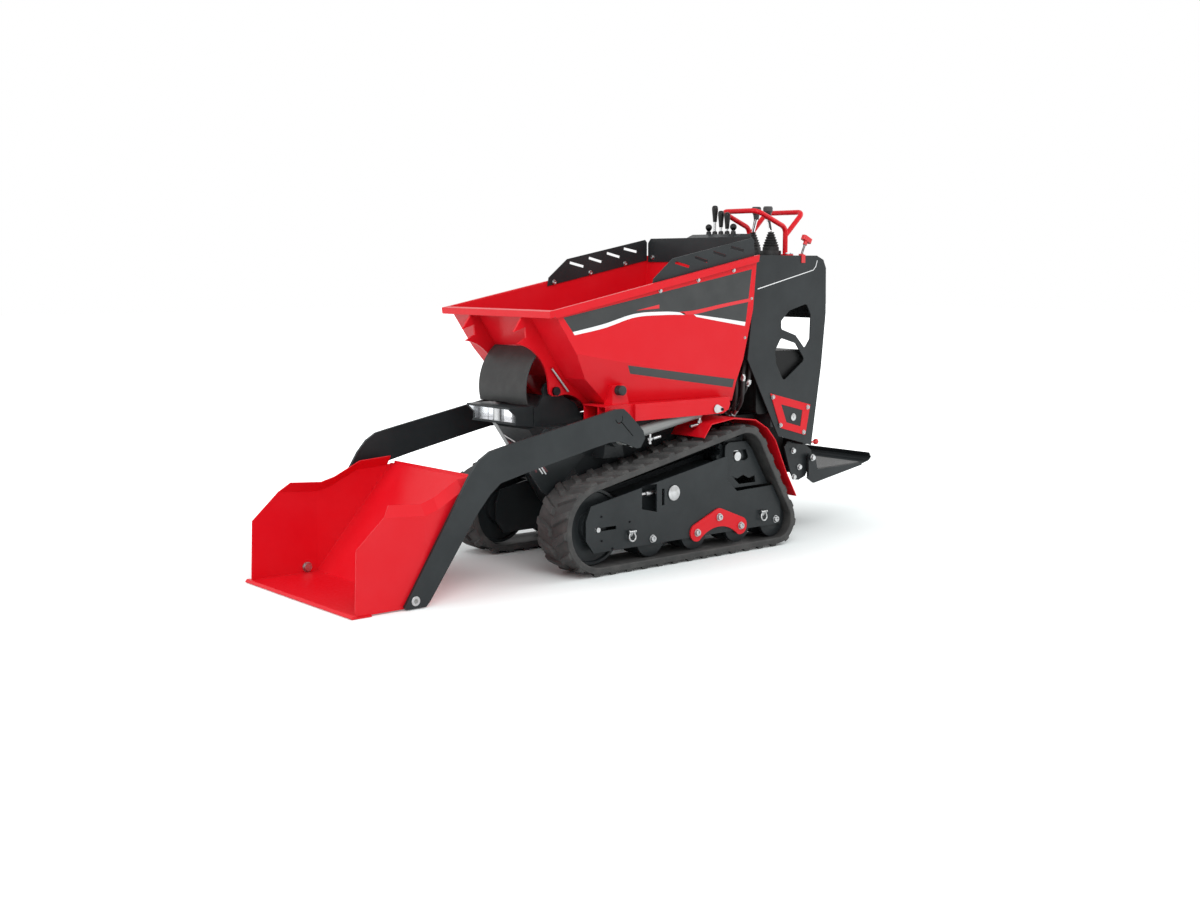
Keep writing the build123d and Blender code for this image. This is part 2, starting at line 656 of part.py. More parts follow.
# -------------------------------------------------------------------- loader
# Arm outline: leg, outer elbow, bar, heel with the pivot lobe, underside, inner elbow.
ARM_OUTLINE = (
    (1198, 14), (917, 452), (878, 495), (834, 521), (788, 531), (254, 633), (212, 633),
    (184, 612), (113, 543), (103, 513), (127, 479), (148, 478), (191, 495), (233, 510),
    (281, 510), (351, 497), (679, 429), (789, 404), (836, 367), (880, 318), (902, 291),
    (1094, 21), (1111, 4), (1190, 4),
)
# Keyhole cut through the heel: an open ring and the straight slit under it.
HEEL_RING = (235.0, 597.0)
HEEL_RING_RADIUS = 17.0
HEEL_SLIT = ((223, 583), (166, 526))
HEEL_CUT = 3.5
with BuildPart() as loader_arm:
    plate(ARM_OUTLINE, ARM_INNER, ARM_OUTER)
    drum(ARM_PIVOT, SHAFT_RADIUS, ARM_INNER, ARM_OUTER - 4, mode=Mode.SUBTRACT)
    with BuildSketch(side_plane(ARM_OUTER)) as heel_cut:
        with BuildLine() as heel_ring:
            CenterArc(HEEL_RING, HEEL_RING_RADIUS, 150, 205)
        trace(heel_ring.line, line_width=HEEL_CUT)
        with BuildLine():
            Polyline(*slot_points(*HEEL_SLIT, HEEL_CUT), close=True)
        make_face()
    extrude(heel_cut.sketch, amount=ARM_OUTER - ARM_INNER, mode=Mode.SUBTRACT)
write_pair(loader_arm.part, "loader_arm")

with BuildPart() as arm_shaft:
    drum(ARM_PIVOT, SHAFT_RADIUS, -(ARM_OUTER - 4), ARM_OUTER - 4)
    for y_low in (-(ARM_INNER), ARM_INNER - 12):
        drum(ARM_PIVOT, 34.0, y_low, y_low + 12)
write(arm_shaft.part, "arm_shaft")

# Shovel body: side view and plan view, and the same two moved in by the sheet.
SHOVEL_SIDE = 375.0
SHOVEL_BACK = 346.0
SHOVEL_FOLD = 1105.0
SHOVEL_MOUTH = 1384.0
SHOVEL_RIM = ((1375, 231), (1265, 330), (1100, 318), (1044, 334), (937, 387), (795, 398), (783, 402))
SHOVEL_OUTSIDE = ((SHOVEL_MOUTH, 6),) + SHOVEL_RIM + ((1110, 6),)
SHOVEL_INSIDE = ((1500, 10), (1500, 500), (707, 500), (1112, 10))


def shovel_plan(half_width, back_half_width):
    """Trim to the plan view, whose sides close in behind the fold."""
    corners = ((1500, half_width), (SHOVEL_FOLD, half_width), (760, back_half_width))
    far_side = tuple((x, -y) for x, y in reversed(corners))
    with BuildSketch(Plane.XY.offset(-10)) as plan:
        with BuildLine():
            Polyline(*(corners + far_side), close=True)
        make_face()
    extrude(plan.sketch, amount=600, mode=Mode.INTERSECT)


with BuildPart() as shovel_hollow:
    plate(SHOVEL_INSIDE, -SHOVEL_SIDE, SHOVEL_SIDE)
    shovel_plan(SHOVEL_SIDE - SHEET, SHOVEL_BACK - SHEET)

RIM_POINTS = SHOVEL_RIM[1:5] + ((805, 397),)
RIM_LEAN = Vector(0, -30, 38)
RIM_NOTCH = 0.22  # share of the first strip that is cut back at the front


def shovel_half_width(x):
    """Outer half-width of the shovel's side at x."""
    if x > SHOVEL_FOLD:
        return SHOVEL_SIDE
    return SHOVEL_SIDE - (SHOVEL_SIDE - SHOVEL_BACK) * (SHOVEL_FOLD - x) / (SHOVEL_FOLD - 760)


with BuildPart() as shovel_rim:
    for (x1, z1), (x2, z2) in zip(RIM_POINTS, RIM_POINTS[1:]):
        start = Vector(x1, shovel_half_width(x1), z1)
        end = Vector(x2, shovel_half_width(x2), z2)
        cut_back = RIM_NOTCH if (x1, z1) == RIM_POINTS[0] else 0.0
        front = start + RIM_LEAN + (end - start) * cut_back
        strip = Face(Wire.make_polygon([start, end, end + RIM_LEAN, front]))
        extrude(strip, amount=SHEET, dir=(0, -0.8, -0.6))

with BuildPart() as shovel:
    plate(SHOVEL_OUTSIDE, -SHOVEL_SIDE, SHOVEL_SIDE)
    shovel_plan(SHOVEL_SIDE, SHOVEL_BACK)
    add(shovel_hollow.part, mode=Mode.SUBTRACT)
    add(shovel_rim.part)
    add(mirror(shovel_rim.part, about=Plane.XZ, mode=Mode.PRIVATE))
    plate(((783, 392), (779, 412), (783, 412), (788, 392)), -SHOVEL_BACK + 20, SHOVEL_BACK - 20)
write(shovel.part, "shovel_shell")

EDGE_OUTLINE = (
    (HALF_LENGTH, 5), (HALF_LENGTH - 8, 14), (SHOVEL_MOUTH, 14), (SHOVEL_MOUTH, 6), (1324, 6),
    (1324, 2), (HALF_LENGTH - 3, 2),
)
with BuildPart() as cutting_edge:
    plate(EDGE_OUTLINE, -384, 384)
write(cutting_edge.part, "cutting_edge")

with BuildPart() as shovel_bolts:
    turned(
        ARM_BOLT,
        ((ARM_OUTER, 0), (ARM_OUTER, 17), (389.9, 17), (389.9, 0)),
    )
    turned(ARM_BOLT, ((SHOVEL_SIDE - SHEET - 12, 0), (SHOVEL_SIDE - SHEET - 12, 15), (371, 15), (371, 0)))
    mirror(about=Plane.XZ)
write(shovel_bolts.part, "shovel_bolts")

# -------------------------------------------------------------------- skip
# Side view of the tub from the front lip clockwise, and its sheet thickness inside.
TUB = (
    (508, 1005), (-554, 1212), (-533, 990), (-479, 788), (-440, 700), (-446, 620),
    (200, 643), (330, 745),
)
CREASE_FRONT = (405.0, SKIP_HALF_WIDTH, 846.0)
CREASE_REAR = (-436.0, SKIP_HALF_WIDTH, 700.0)
FLOOR_REAR = (-446.0, 305.0, 619.0)


def facet_plane(sign):
    """Plane of the lower side facet on the given side, facing outwards."""
    crease_front = Vector(*CREASE_FRONT)
    crease_rear = Vector(*CREASE_REAR)
    floor_rear = Vector(*FLOOR_REAR)
    normal = (crease_front - crease_rear).cross(floor_rear - crease_rear)
    if normal.Y < 0:
        normal = -normal
    return Plane(
        origin=(crease_rear.X, sign * crease_rear.Y, crease_rear.Z),
        z_dir=(normal.X, sign * normal.Y, normal.Z),
    )


with BuildPart() as skip_tub:
    plate(TUB, -SKIP_HALF_WIDTH, SKIP_HALF_WIDTH)
    for sign in (1, -1):
        split(bisect_by=facet_plane(sign), keep=Keep.BOTTOM)
    mouth = skip_tub.faces().sort_by(Axis.Z)[-1]
    offset(amount=-SHEET, openings=mouth)
    # Folded rims along both sides and across the front.
    plate(
        ((512, 1009), (506, 980), (-549, 1186), (-554, 1214)),
        SKIP_HALF_WIDTH, SKIP_HALF_WIDTH + SKIP_RIM,
    )
    plate(
        ((512, 1009), (506, 980), (-549, 1186), (-554, 1214)),
        -SKIP_HALF_WIDTH - SKIP_RIM, -SKIP_HALF_WIDTH,
    )
    plate(
        ((512, 1009), (537, 1005), (533, 980), (508, 985.5)),
        -SKIP_HALF_WIDTH - SKIP_RIM, SKIP_HALF_WIDTH + SKIP_RIM,
    )
write(skip_tub.part, "skip_tub")

# Open-fronted rails under the tub; the tipping cylinders lie between the inner
# channel and the ear plate, under the shelf.
RAIL_SHELF = 642.0
RAIL_BOTTOM = 577.0
RAIL_FRONT = 255.0
RAIL_REAR = -392.0
EAR_PLATE_OUTER = 350.0
CHANNEL_WEB = (
    (RAIL_FRONT, RAIL_BOTTOM), (RAIL_FRONT, 635), (200, 635), (200, 642), (RAIL_REAR, 621),
    (RAIL_REAR, 606), (-356, RAIL_BOTTOM),
)
SHELF_PLAN = (
    (RAIL_FRONT, 200), (RAIL_FRONT, 335), (120, 335), (120, 345), (-380, 345), (-380, 310),
    (201, 273.5), (201, 200),
)
EAR_PLATE_OUTLINE = (
    (120, RAIL_SHELF), (120, RAIL_BOTTOM), (-352, RAIL_BOTTOM), (-384, 592), (-392, 612), (-388, RAIL_SHELF),
)
BUFFER_BRACKET = ((212, 716), (150, 716), (128, RAIL_SHELF - 1), (212, RAIL_SHELF - 1))
with BuildPart() as skip_rail:
    # bracket of the rubber buffer, cut along the tub's side
    plate(BUFFER_BRACKET, 260, 322)
    split(bisect_by=facet_plane(1), keep=Keep.TOP)
    for y_low in (200, 284):
        plate(CHANNEL_WEB, y_low, y_low + 6)
    plate(
        ((RAIL_FRONT, RAIL_BOTTOM), (RAIL_FRONT, 583), (-356, 583), (-356, RAIL_BOTTOM)),
        206, 284,
    )
    with BuildSketch(Plane.XY.offset(RAIL_SHELF - 6)) as shelf:
        with BuildLine():
            Polyline(*SHELF_PLAN, close=True)
        make_face()
    extrude(shelf.sketch, amount=6)
    plate(
        ((RAIL_FRONT, 636), (RAIL_FRONT, RAIL_BOTTOM), (80, RAIL_BOTTOM), (80, 636)),
        329, 335,
    )
    plate(EAR_PLATE_OUTLINE, EAR_PLATE_OUTER - 5, EAR_PLATE_OUTER)
    plate(
        ((120, 636), (120, RAIL_BOTTOM), (112, RAIL_BOTTOM), (112, 636)),
        329, EAR_PLATE_OUTER,
    )
    mirror(about=Plane.XZ)
write(skip_rail.part, "skip_rails")

# Bright pieces: the cylinder pins' keepers and the rod that locks the tipped skip.
with BuildPart() as pin_keepers:
    with BuildSketch(side_plane(EAR_PLATE_OUTER + 5)) as teardrop:
        with Locations((-315, 598)):
            Circle(17)
        with Locations((-342, 594)):
            Circle(8)
        make_hull()
    extrude(teardrop.sketch, amount=5)
    mirror(about=Plane.XZ)
    with BuildLine() as rod_line:
        Line((394, 181, 783), (316, 181, 692))
    rod_path = rod_line.wire()
    with BuildSketch(Plane(origin=rod_path @ 0, z_dir=rod_path % 0)) as bar:
        Circle(5)
    sweep(bar.sketch, path=rod_path)
write(pin_keepers.part, "skip_fittings")

# Gussets under the front wall; their lower corner carries the hinge pin.
GUSSET_INNER = 161.0
GUSSET_OUTER = 171.0
with BuildPart() as gussets:
    with BuildSketch(side_plane(GUSSET_OUTER)) as gusset:
        with BuildLine():
            Polyline((330, 745), (496, 987), (528, 978), (565, 926), (512, 942), (508, 902), (552, 880))
            ThreePointArc((552, 880), (449, 828), (402, 706))
            Polyline((402, 706), (398, 686), (385, 676), (356, 675))
            ThreePointArc((356, 675), (276, 669), (213, 610))
            Polyline((213, 610), (200, 632), (200, 643), (330, 745))
        make_face()
        with Locations(SKIP_HINGE):
            Circle(12.0 + RUNNING_FIT, mode=Mode.SUBTRACT)
    extrude(gusset.sketch, amount=GUSSET_OUTER - GUSSET_INNER)
    mirror(about=Plane.XZ)
write(gussets.part, "skip_gussets")

BUFFER = (184.0, 698.0)
with BuildPart() as buffers:
    turned(BUFFER, ((322, 0), (322, 19), (350, 19), (353, 14), (353, 0)))
    mirror(about=Plane.XZ)
write(buffers.part, "rubber_buffers")

# Raised boards inside the rim.
BOARD_OUTLINE = ((17, 1085), (11, 1120), (-89, 1198), (-530, 1283), (-540, 1272), (-540, 1193))
BOARD_SLOTS = (
    ((-102, 1183), (-179, 1166)), ((-207, 1203), (-279, 1186)),
    ((-308, 1224), (-382, 1207)), ((-405, 1244), (-481, 1230)),
)
REAR_BOARD = ((-322, 1186), (322, 1186), (322, 1268), (304, 1288), (-304, 1288), (-322, 1268))
with BuildPart() as skip_boards:
    plate(BOARD_OUTLINE, 326.5, 330.5)
    for start, end in BOARD_SLOTS:
        plate(slot_points(start, end, 11), 326.5, 330.5, mode=Mode.SUBTRACT)
    mirror(about=Plane.XZ)
    with BuildSketch(Plane(origin=(-546, 0, 0), x_dir=(0, 1, 0), z_dir=(1, 0, 0))) as board:
        with BuildLine():
            Polyline(*REAR_BOARD, close=True)
        make_face()
    extrude(board.sketch, amount=4)
write(skip_boards.part, "skip_boards")

# Rubber flap from the front wall down to the tool bracket.
FLAP_CENTRE = (294.0, 700.0)
FLAP_RADIUS = 205.0
with BuildPart() as rubber_flap:
    with BuildSketch(side_plane(154)) as bow:
        with BuildLine() as bow_line:
            CenterArc(FLAP_CENTRE, FLAP_RADIUS - 2.5, -15, 68)
        trace(bow_line.line, line_width=5)
    extrude(bow.sketch, amount=308)
write(rubber_flap.part, "rubber_flap")

# -------------------------------------------------------------------- tipping cylinders
CYLINDER_LENGTH = math.hypot(TIP_EYE[0] - ARM_PIVOT[0], TIP_EYE[1] - ARM_PIVOT[1])
CYLINDER_RUN = (
    (TIP_EYE[0] - ARM_PIVOT[0]) / CYLINDER_LENGTH,
    0.0,
    (TIP_EYE[1] - ARM_PIVOT[1]) / CYLINDER_LENGTH,
)
BARREL_RADIUS = 22.0
BARREL_BORE = 17.0
BARREL_END = 405.0
ROD_RADIUS = 13.0
ROD_TAIL = 62.0


def along_cylinder(distance, sign):
    """Plane square to the cylinder's axis, at a distance from the arm pivot."""
    return Plane(
        origin=(
            ARM_PIVOT[0] + CYLINDER_RUN[0] * distance,
            sign * CYLINDER_Y,
            ARM_PIVOT[1] + CYLINDER_RUN[2] * distance,
        ),
        x_dir=(0, 1, 0),
        z_dir=CYLINDER_RUN,
    )


for side, sign in (("left", 1), ("right", -1)):
    eye_low = sign * CYLINDER_Y - 18
    with BuildPart() as tip_barrel:
        with BuildSketch(along_cylinder(20.0, sign)) as tube_section:
            Circle(BARREL_RADIUS)
        extrude(tube_section.sketch, amount=BARREL_END - 20.0)
        with BuildSketch(along_cylinder(BARREL_END - 22.0, sign)) as gland:
            Circle(BARREL_RADIUS + 1)
        extrude(gland.sketch, amount=22.0)
        drum(ARM_PIVOT, 30.0, eye_low, eye_low + 36)
        with BuildSketch(along_cylinder(42.0, sign)) as bore:
            Circle(BARREL_BORE)
        extrude(bore.sketch, amount=BARREL_END, mode=Mode.SUBTRACT)
        drum(ARM_PIVOT, SHAFT_RADIUS + RUNNING_FIT, eye_low, eye_low + 36, mode=Mode.SUBTRACT)
    write(tip_barrel.part, f"tip_barrel_{side}")

    with BuildPart() as tip_rod:
        with BuildSketch(along_cylinder(ROD_TAIL, sign)) as rod_section:
            Circle(ROD_RADIUS)
        extrude(rod_section.sketch, amount=CYLINDER_LENGTH - ROD_TAIL - 8)
        drum(TIP_EYE, 20.0, eye_low + 2, eye_low + 34)
        drum(TIP_EYE, 9.0, eye_low - 3, eye_low + 39)
    write(tip_rod.part, f"tip_rod_{side}")
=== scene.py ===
"""Finishes and fittings of a tracked mini dumper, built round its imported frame.

The frame's axes are +X towards the shovel, +Y to the machine's left and +Z up, with
the ground at z = 0. New pieces are worked out in millimetres, and add_piece turns them
into the frame's metres. Materials and the studio are in metres.
"""

import logging
import math
from dataclasses import dataclass
from enum import Enum
from typing import Any, Iterable, Sequence

import bmesh
import bpy
import numpy as np
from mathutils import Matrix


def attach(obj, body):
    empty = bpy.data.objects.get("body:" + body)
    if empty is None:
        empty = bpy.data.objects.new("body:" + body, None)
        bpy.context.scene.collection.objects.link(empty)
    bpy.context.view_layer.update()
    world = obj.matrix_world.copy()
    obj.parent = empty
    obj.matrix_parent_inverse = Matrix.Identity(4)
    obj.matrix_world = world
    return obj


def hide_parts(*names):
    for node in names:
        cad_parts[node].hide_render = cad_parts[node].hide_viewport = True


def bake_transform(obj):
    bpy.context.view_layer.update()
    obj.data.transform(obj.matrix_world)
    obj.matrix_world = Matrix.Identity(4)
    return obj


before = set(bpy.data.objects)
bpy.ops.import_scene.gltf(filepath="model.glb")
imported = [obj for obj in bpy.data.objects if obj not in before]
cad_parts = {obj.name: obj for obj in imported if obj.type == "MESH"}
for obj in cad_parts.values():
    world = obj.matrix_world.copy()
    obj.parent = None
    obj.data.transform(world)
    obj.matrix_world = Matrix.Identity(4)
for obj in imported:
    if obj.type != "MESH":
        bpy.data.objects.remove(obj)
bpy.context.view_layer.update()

LOG = logging.getLogger("mini_dumper")
MM = 0.001
SIDES = (("left", 1), ("right", -1))
MERGE = 0.001 * MM  # points nearer than this become one

Material = bpy.types.Material
Node = bpy.types.Node
Object = bpy.types.Object
Socket = bpy.types.NodeSocket
Tree = bpy.types.NodeTree
Pair = tuple[float, float]
Point = tuple[float, float, float]


# ---------------------------------------------------------------------- node helpers
def linear(code: str) -> tuple[float, float, float, float]:
    """Turn an sRGB hex code into a linear colour.

    Args:
        code: colour as "#rrggbb".

    Returns:
        Linear red, green, blue and an alpha of one.
    """
    parts = [int(code[i : i + 2], 16) / 255 for i in (1, 3, 5)]
    lit = [c / 12.92 if c <= 0.04045 else ((c + 0.055) / 1.055) ** 2.4 for c in parts]
    return (*lit, 1.0)


def fill(node: Node, inputs: dict) -> None:
    """Set a node's sockets, or link them to what feeds them.

    Args:
        node: the node.
        inputs: socket name or index to a value or to an output socket.
    """
    for key, value in inputs.items():
        if isinstance(value, Socket):
            node.id_data.links.new(value, node.inputs[key])
        else:
            node.inputs[key].default_value = value


def add_node(tree: Tree, kind: str, inputs: dict | None = None, **settings: Any) -> Node:
    """Add a shader node with its settings and links.

    Args:
        tree: node tree that takes the node.
        kind: node type, such as "ShaderNodeTexNoise".
        inputs: socket name or index to a value or to an output socket.
        settings: properties of the node itself.

    Returns:
        The new node.
    """
    node = tree.nodes.new(kind)
    for name, value in settings.items():
        setattr(node, name, value)
    fill(node, inputs or {})
    return node


def blank_material(name: str) -> tuple[Material, Node, Socket]:
    """Make a material with a bare principled shader.

    Args:
        name: the material's name.

    Returns:
        The material, its shader and the Object coordinates that its patterns read.
    """
    material = bpy.data.materials.new(name)
    material.use_nodes = True
    tree = material.node_tree
    tree.nodes.clear()
    shader = add_node(tree, "ShaderNodeBsdfPrincipled")
    add_node(tree, "ShaderNodeOutputMaterial", {"Surface": shader.outputs["BSDF"]})
    place = add_node(tree, "ShaderNodeTexCoord").outputs["Object"]
    return material, shader, place


def blotches(tree: Tree, place: Socket, size: float, detail: float, low: Pair, high: Pair) -> Socket:
    """Soft noise blotches, with a span of the noise stretched to a span of values.

    Args:
        tree: the material's nodes.
        place: coordinates that the noise reads.
        size: width of a blotch in metres.
        detail: how many finer layers it has.
        low: a level of the noise, and the value that it becomes.
        high: a higher level, and the value that it becomes.

    Returns:
        The values.
    """
    feed = {"Vector": place, "Scale": 1.0 / size, "Detail": detail, "Roughness": 0.55}
    level = add_node(tree, "ShaderNodeTexNoise", feed).outputs["Fac"]
    span = {0: level, 1: low[0], 2: high[0], 3: low[1], 4: high[1]}
    return add_node(tree, "ShaderNodeMapRange", span).outputs[0]


def grained(
    tree: Tree, place: Socket, size: float, detail: float, depth: float, under: Socket | None = None
) -> Socket:
    """Normal of a skin that noise raises and lowers.

    Args:
        tree: the material's nodes.
        place: coordinates that the noise reads.
        size: width of a grain in metres.
        detail: how many finer layers it has.
        depth: height of the grain in metres.
        under: the normal that it changes, where that isn't the surface's own.

    Returns:
        The normal.
    """
    feed = {"Vector": place, "Scale": 1.0 / size, "Detail": detail, "Roughness": 0.55}
    level = add_node(tree, "ShaderNodeTexNoise", feed).outputs["Fac"]
    bump = add_node(tree, "ShaderNodeBump", {"Height": level, "Distance": depth})
    fill(bump, {} if under is None else {"Normal": under})
    return bump.outputs["Normal"]


def layered(tree: Tree, plain: str, other: str, shares: Sequence[Socket]) -> Socket:
    """Colour that turns towards another one, once for each share.

    Args:
        tree: the material's nodes.
        plain: hex code of the plain colour.
        other: hex code of the colour that is laid over it.
        shares: how much of the other colour each layer adds.

    Returns:
        The colour.
    """
    colour = linear(plain)
    for share in shares:
        feed = {0: share, 6: colour, 7: linear(other)}
        colour = add_node(tree, "ShaderNodeMix", feed, data_type="RGBA").outputs[2]
    return colour


def rounded(tree: Tree, radius: float) -> tuple[Socket, Socket]:
    """Normal that turns smoothly over sharp edges, and a mask of those edges.

    Args:
        tree: the material's nodes.
        radius: the edges' radius in metres.

    Returns:
        The normal, and 0 on flats rising to 1 on the edges.
    """
    soft = add_node(tree, "ShaderNodeBevel", {"Radius": radius}, samples=4).outputs["Normal"]
    flat = add_node(tree, "ShaderNodeNewGeometry").outputs["Normal"]
    same = add_node(tree, "ShaderNodeVectorMath", {0: soft, 1: flat}, operation="DOT_PRODUCT")
    span = {0: same.outputs["Value"], 1: 0.97, 2: 0.8, 3: 0.0, 4: 1.0}
    return soft, add_node(tree, "ShaderNodeMapRange", span).outputs[0]


def seen_directly(tree: Tree) -> Socket:
    """Mask of rays from the camera, and of those that mirror or pass through.

    Args:
        tree: nodes of the floor or the world.

    Returns:
        1 for those rays, and 0 for the rest.
    """
    ray = add_node(tree, "ShaderNodeLightPath").outputs
    seen = ray["Is Camera Ray"]
    for other in ("Is Glossy Ray", "Is Transmission Ray"):
        seen = add_node(tree, "ShaderNodeMath", {0: seen, 1: ray[other]}, operation="MAXIMUM").outputs[0]
    return seen


# -------------------------------------------------------------------------- finishes
@dataclass(frozen=True)
class PowderCoat:
    """Mild steel plate, blasted and powder coated.

    The coat melts into a smooth skin with a faint orange peel about 1.5 mm wide; site
    dust dulls it in soft patches, and its edges turn a little paler in patches: partly
    rubbed wear, partly a painted edge highlight.
    """

    name: str
    colour: str
    # paler colour for dust, for rubbed edges and for the painted edge highlight
    dust_wear_highlight: str
    roughness: float
    peel: float = 1.5 * MM
    coat: float = 0.06
    depth: float = 0.015 * MM
    edge: float = 1.2 * MM
    patch: float = 160 * MM
    edge_patch: float = 20 * MM
    speck: float = 12 * MM

    def build(self) -> Material:
        """Lay dust, paled edges (rubbed wear and a painted highlight) and orange peel over the colour.

        Returns:
            The material.
        """
        material, shader, place = blank_material(self.name)
        tree = material.node_tree
        soft, corner = rounded(tree, self.edge)
        dust = blotches(tree, place, self.patch, 3.0, (0.35, 0.0), (0.75, 0.08))
        edge_patches = blotches(tree, place, self.edge_patch, 5.0, (0.42, 0.12), (0.7, 0.55))
        # edges turn paler: partly rubbed wear, partly a painted edge highlight
        paled_edges = add_node(tree, "ShaderNodeMath", {0: corner, 1: edge_patches}, operation="MULTIPLY").outputs[0]
        low, high = self.roughness - 0.04, self.roughness + 0.07
        look = {
            "Base Color": layered(tree, self.colour, self.dust_wear_highlight, (dust, paled_edges)),
            "Roughness": blotches(tree, place, self.speck, 6.0, (0.3, low), (0.7, high)),
            "Normal": grained(tree, place, self.peel, 1.0, self.depth, soft),
            "Specular IOR Level": 0.2,
            "Coat Weight": self.coat,
            "Coat Roughness": 0.18,
        }
        fill(shader, look)
        return material


@dataclass(frozen=True)
class TrackRubber:
    """Carbon-black rubber, vulcanised in a steel mould.

    It is nearly black and matt, with a grain of 2 mm from the mould and a paler bloom
    of dust where it is touched.
    """

    name: str
    colour: str
    dusty: str
    roughness: float
    edge: float = 2.0 * MM
    grain: float = 2.0 * MM
    depth: float = 0.12 * MM
    patch: float = 50 * MM

    def build(self) -> Material:
        """Lay bloom, dusty edges and mould grain over the colour.

        Returns:
            The material.
        """
        material, shader, place = blank_material(self.name)
        tree = material.node_tree
        bloom = blotches(tree, place, self.patch, 5.0, (0.4, 0.0), (0.72, 0.45))
        soft, corner = rounded(tree, self.edge)
        span = {0: corner, 1: 0.0, 2: 1.0, 3: 0.0, 4: 0.45}
        paled_edges = add_node(tree, "ShaderNodeMapRange", span).outputs[0]
        look = {
            "Base Color": layered(tree, self.colour, self.dusty, (bloom, paled_edges)),
            "Roughness": self.roughness,
            "Normal": grained(tree, place, self.grain, 4.0, self.depth, soft),
            "Specular IOR Level": 0.35,
        }
        fill(shader, look)
        return material


@dataclass(frozen=True)
class PlatedSteel:
    """Steel with a bright plated or ground surface.

    Zinc plate and hard chrome reflect nearly white. Their fine marks, a few tenths of a
    millimetre apart, blur the highlight, and are drawn at 1.2 mm so that they show.
    """

    name: str
    colour: str
    stain: str
    roughness: float
    stretch: Point = (1.0, 1.0, 1.0)
    mark: float = 1.2 * MM
    depth: float = 0.03 * MM
    cloud: float = 20 * MM

    def build(self) -> Material:
        """Cloud the metal and mark it one way.

        Returns:
            The material.
        """
        material, shader, place = blank_material(self.name)
        tree = material.node_tree
        drawn = add_node(tree, "ShaderNodeMapping", {"Vector": place, "Scale": self.stretch}).outputs[0]
        clouds = blotches(tree, place, self.cloud, 4.0, (0.45, 0.0), (0.8, 0.6))
        low, high = self.roughness - 0.06, self.roughness + 0.1
        look = {
            "Metallic": 1.0,
            "Base Color": layered(tree, self.colour, self.stain, (clouds,)),
            "Roughness": blotches(tree, drawn, self.mark, 3.0, (0.3, low), (0.7, high)),
            "Normal": grained(tree, drawn, self.mark, 3.0, self.depth),
        }
        fill(shader, look)
        return material


@dataclass(frozen=True)
class MouldedPlastic:
    """Moulded nylon or polyethylene.

    A spark-eroded mould leaves an even leather-like grain of about 0.8 mm, which
    breaks up the sheen.
    """

    name: str
    colour: str
    roughness: float
    grain: float = 0.8 * MM
    bloom: float = 0.12  # share of pale dust in its patches
    shine: float = 0.5
    depth: float = 0.04 * MM
    patch: float = 30 * MM
    dust: str = "#8a8a88"

    def build(self) -> Material:
        """Lay dust and leather grain over the colour.

        Returns:
            The material.
        """
        material, shader, place = blank_material(self.name)
        tree = material.node_tree
        cells = add_node(tree, "ShaderNodeTexVoronoi", {"Vector": place, "Scale": 1 / self.grain})
        level = cells.outputs["Distance"]
        dusty = blotches(tree, place, self.patch, 3.0, (0.3, 0.0), (0.7, self.bloom))
        span = {0: level, 1: 0.0, 2: 0.9, 3: self.roughness - 0.05, 4: self.roughness + 0.08}
        leather = add_node(tree, "ShaderNodeBump", {"Height": level, "Distance": self.depth})
        look = {
            "Base Color": layered(tree, self.colour, self.dust, (dusty,)),
            "Roughness": add_node(tree, "ShaderNodeMapRange", span).outputs[0],
            "Normal": leather.outputs["Normal"],
            "Specular IOR Level": self.shine,
        }
        fill(shader, look)
        return material


@dataclass(frozen=True)
class GritMat:
    """Rubber mat with crushed grit rolled into its face.

    The grit stands as sharp pale grains of about 1.5 mm, drawn at 3 mm so that they
    show, on a dark binder.
    """

    name: str
    colour: str
    grit: str
    grain: float = 3 * MM
    depth: float = 0.7 * MM

    def build(self) -> Material:
        """Scatter raised grains over the binder.

        Returns:
            The material.
        """
        material, shader, place = blank_material(self.name)
        tree = material.node_tree
        cells = add_node(tree, "ShaderNodeTexVoronoi", {"Vector": place, "Scale": 1 / self.grain})
        span = {0: cells.outputs["Distance"], 1: 0.1, 2: 0.5, 3: 1.0, 4: 0.0}
        chosen = add_node(tree, "ShaderNodeMapRange", span).outputs[0]
        raised = add_node(tree, "ShaderNodeBump", {"Height": chosen, "Distance": self.depth})
        look = {
            "Base Color": layered(tree, self.colour, self.grit, (chosen,)),
            "Roughness": 0.85,
            "Normal": raised.outputs["Normal"],
        }
        fill(shader, look)
        return material


@dataclass(frozen=True)
class VinylFilm:
    """Self-adhesive cast vinyl, cut to shape and rolled on.

    It is even in colour and glossier than the paint, with a faint ripple where it
    follows the steel.
    """

    name: str
    colour: str
    faded: str = "#9a9a9a"
    patch: float = 90 * MM
    ripple: float = 30 * MM
    depth: float = 0.05 * MM

    def build(self) -> Material:
        """Fade the film in patches and ripple it.

        Returns:
            The material.
        """
        material, shader, place = blank_material(self.name)
        tree = material.node_tree
        fading = blotches(tree, place, self.patch, 3.0, (0.3, 0.0), (0.8, 0.05))
        look = {
            "Base Color": layered(tree, self.colour, self.faded, (fading,)),
            "Roughness": 0.32,
            "Normal": grained(tree, place, self.ripple, 1.0, self.depth),
        }
        fill(shader, look)
        return material


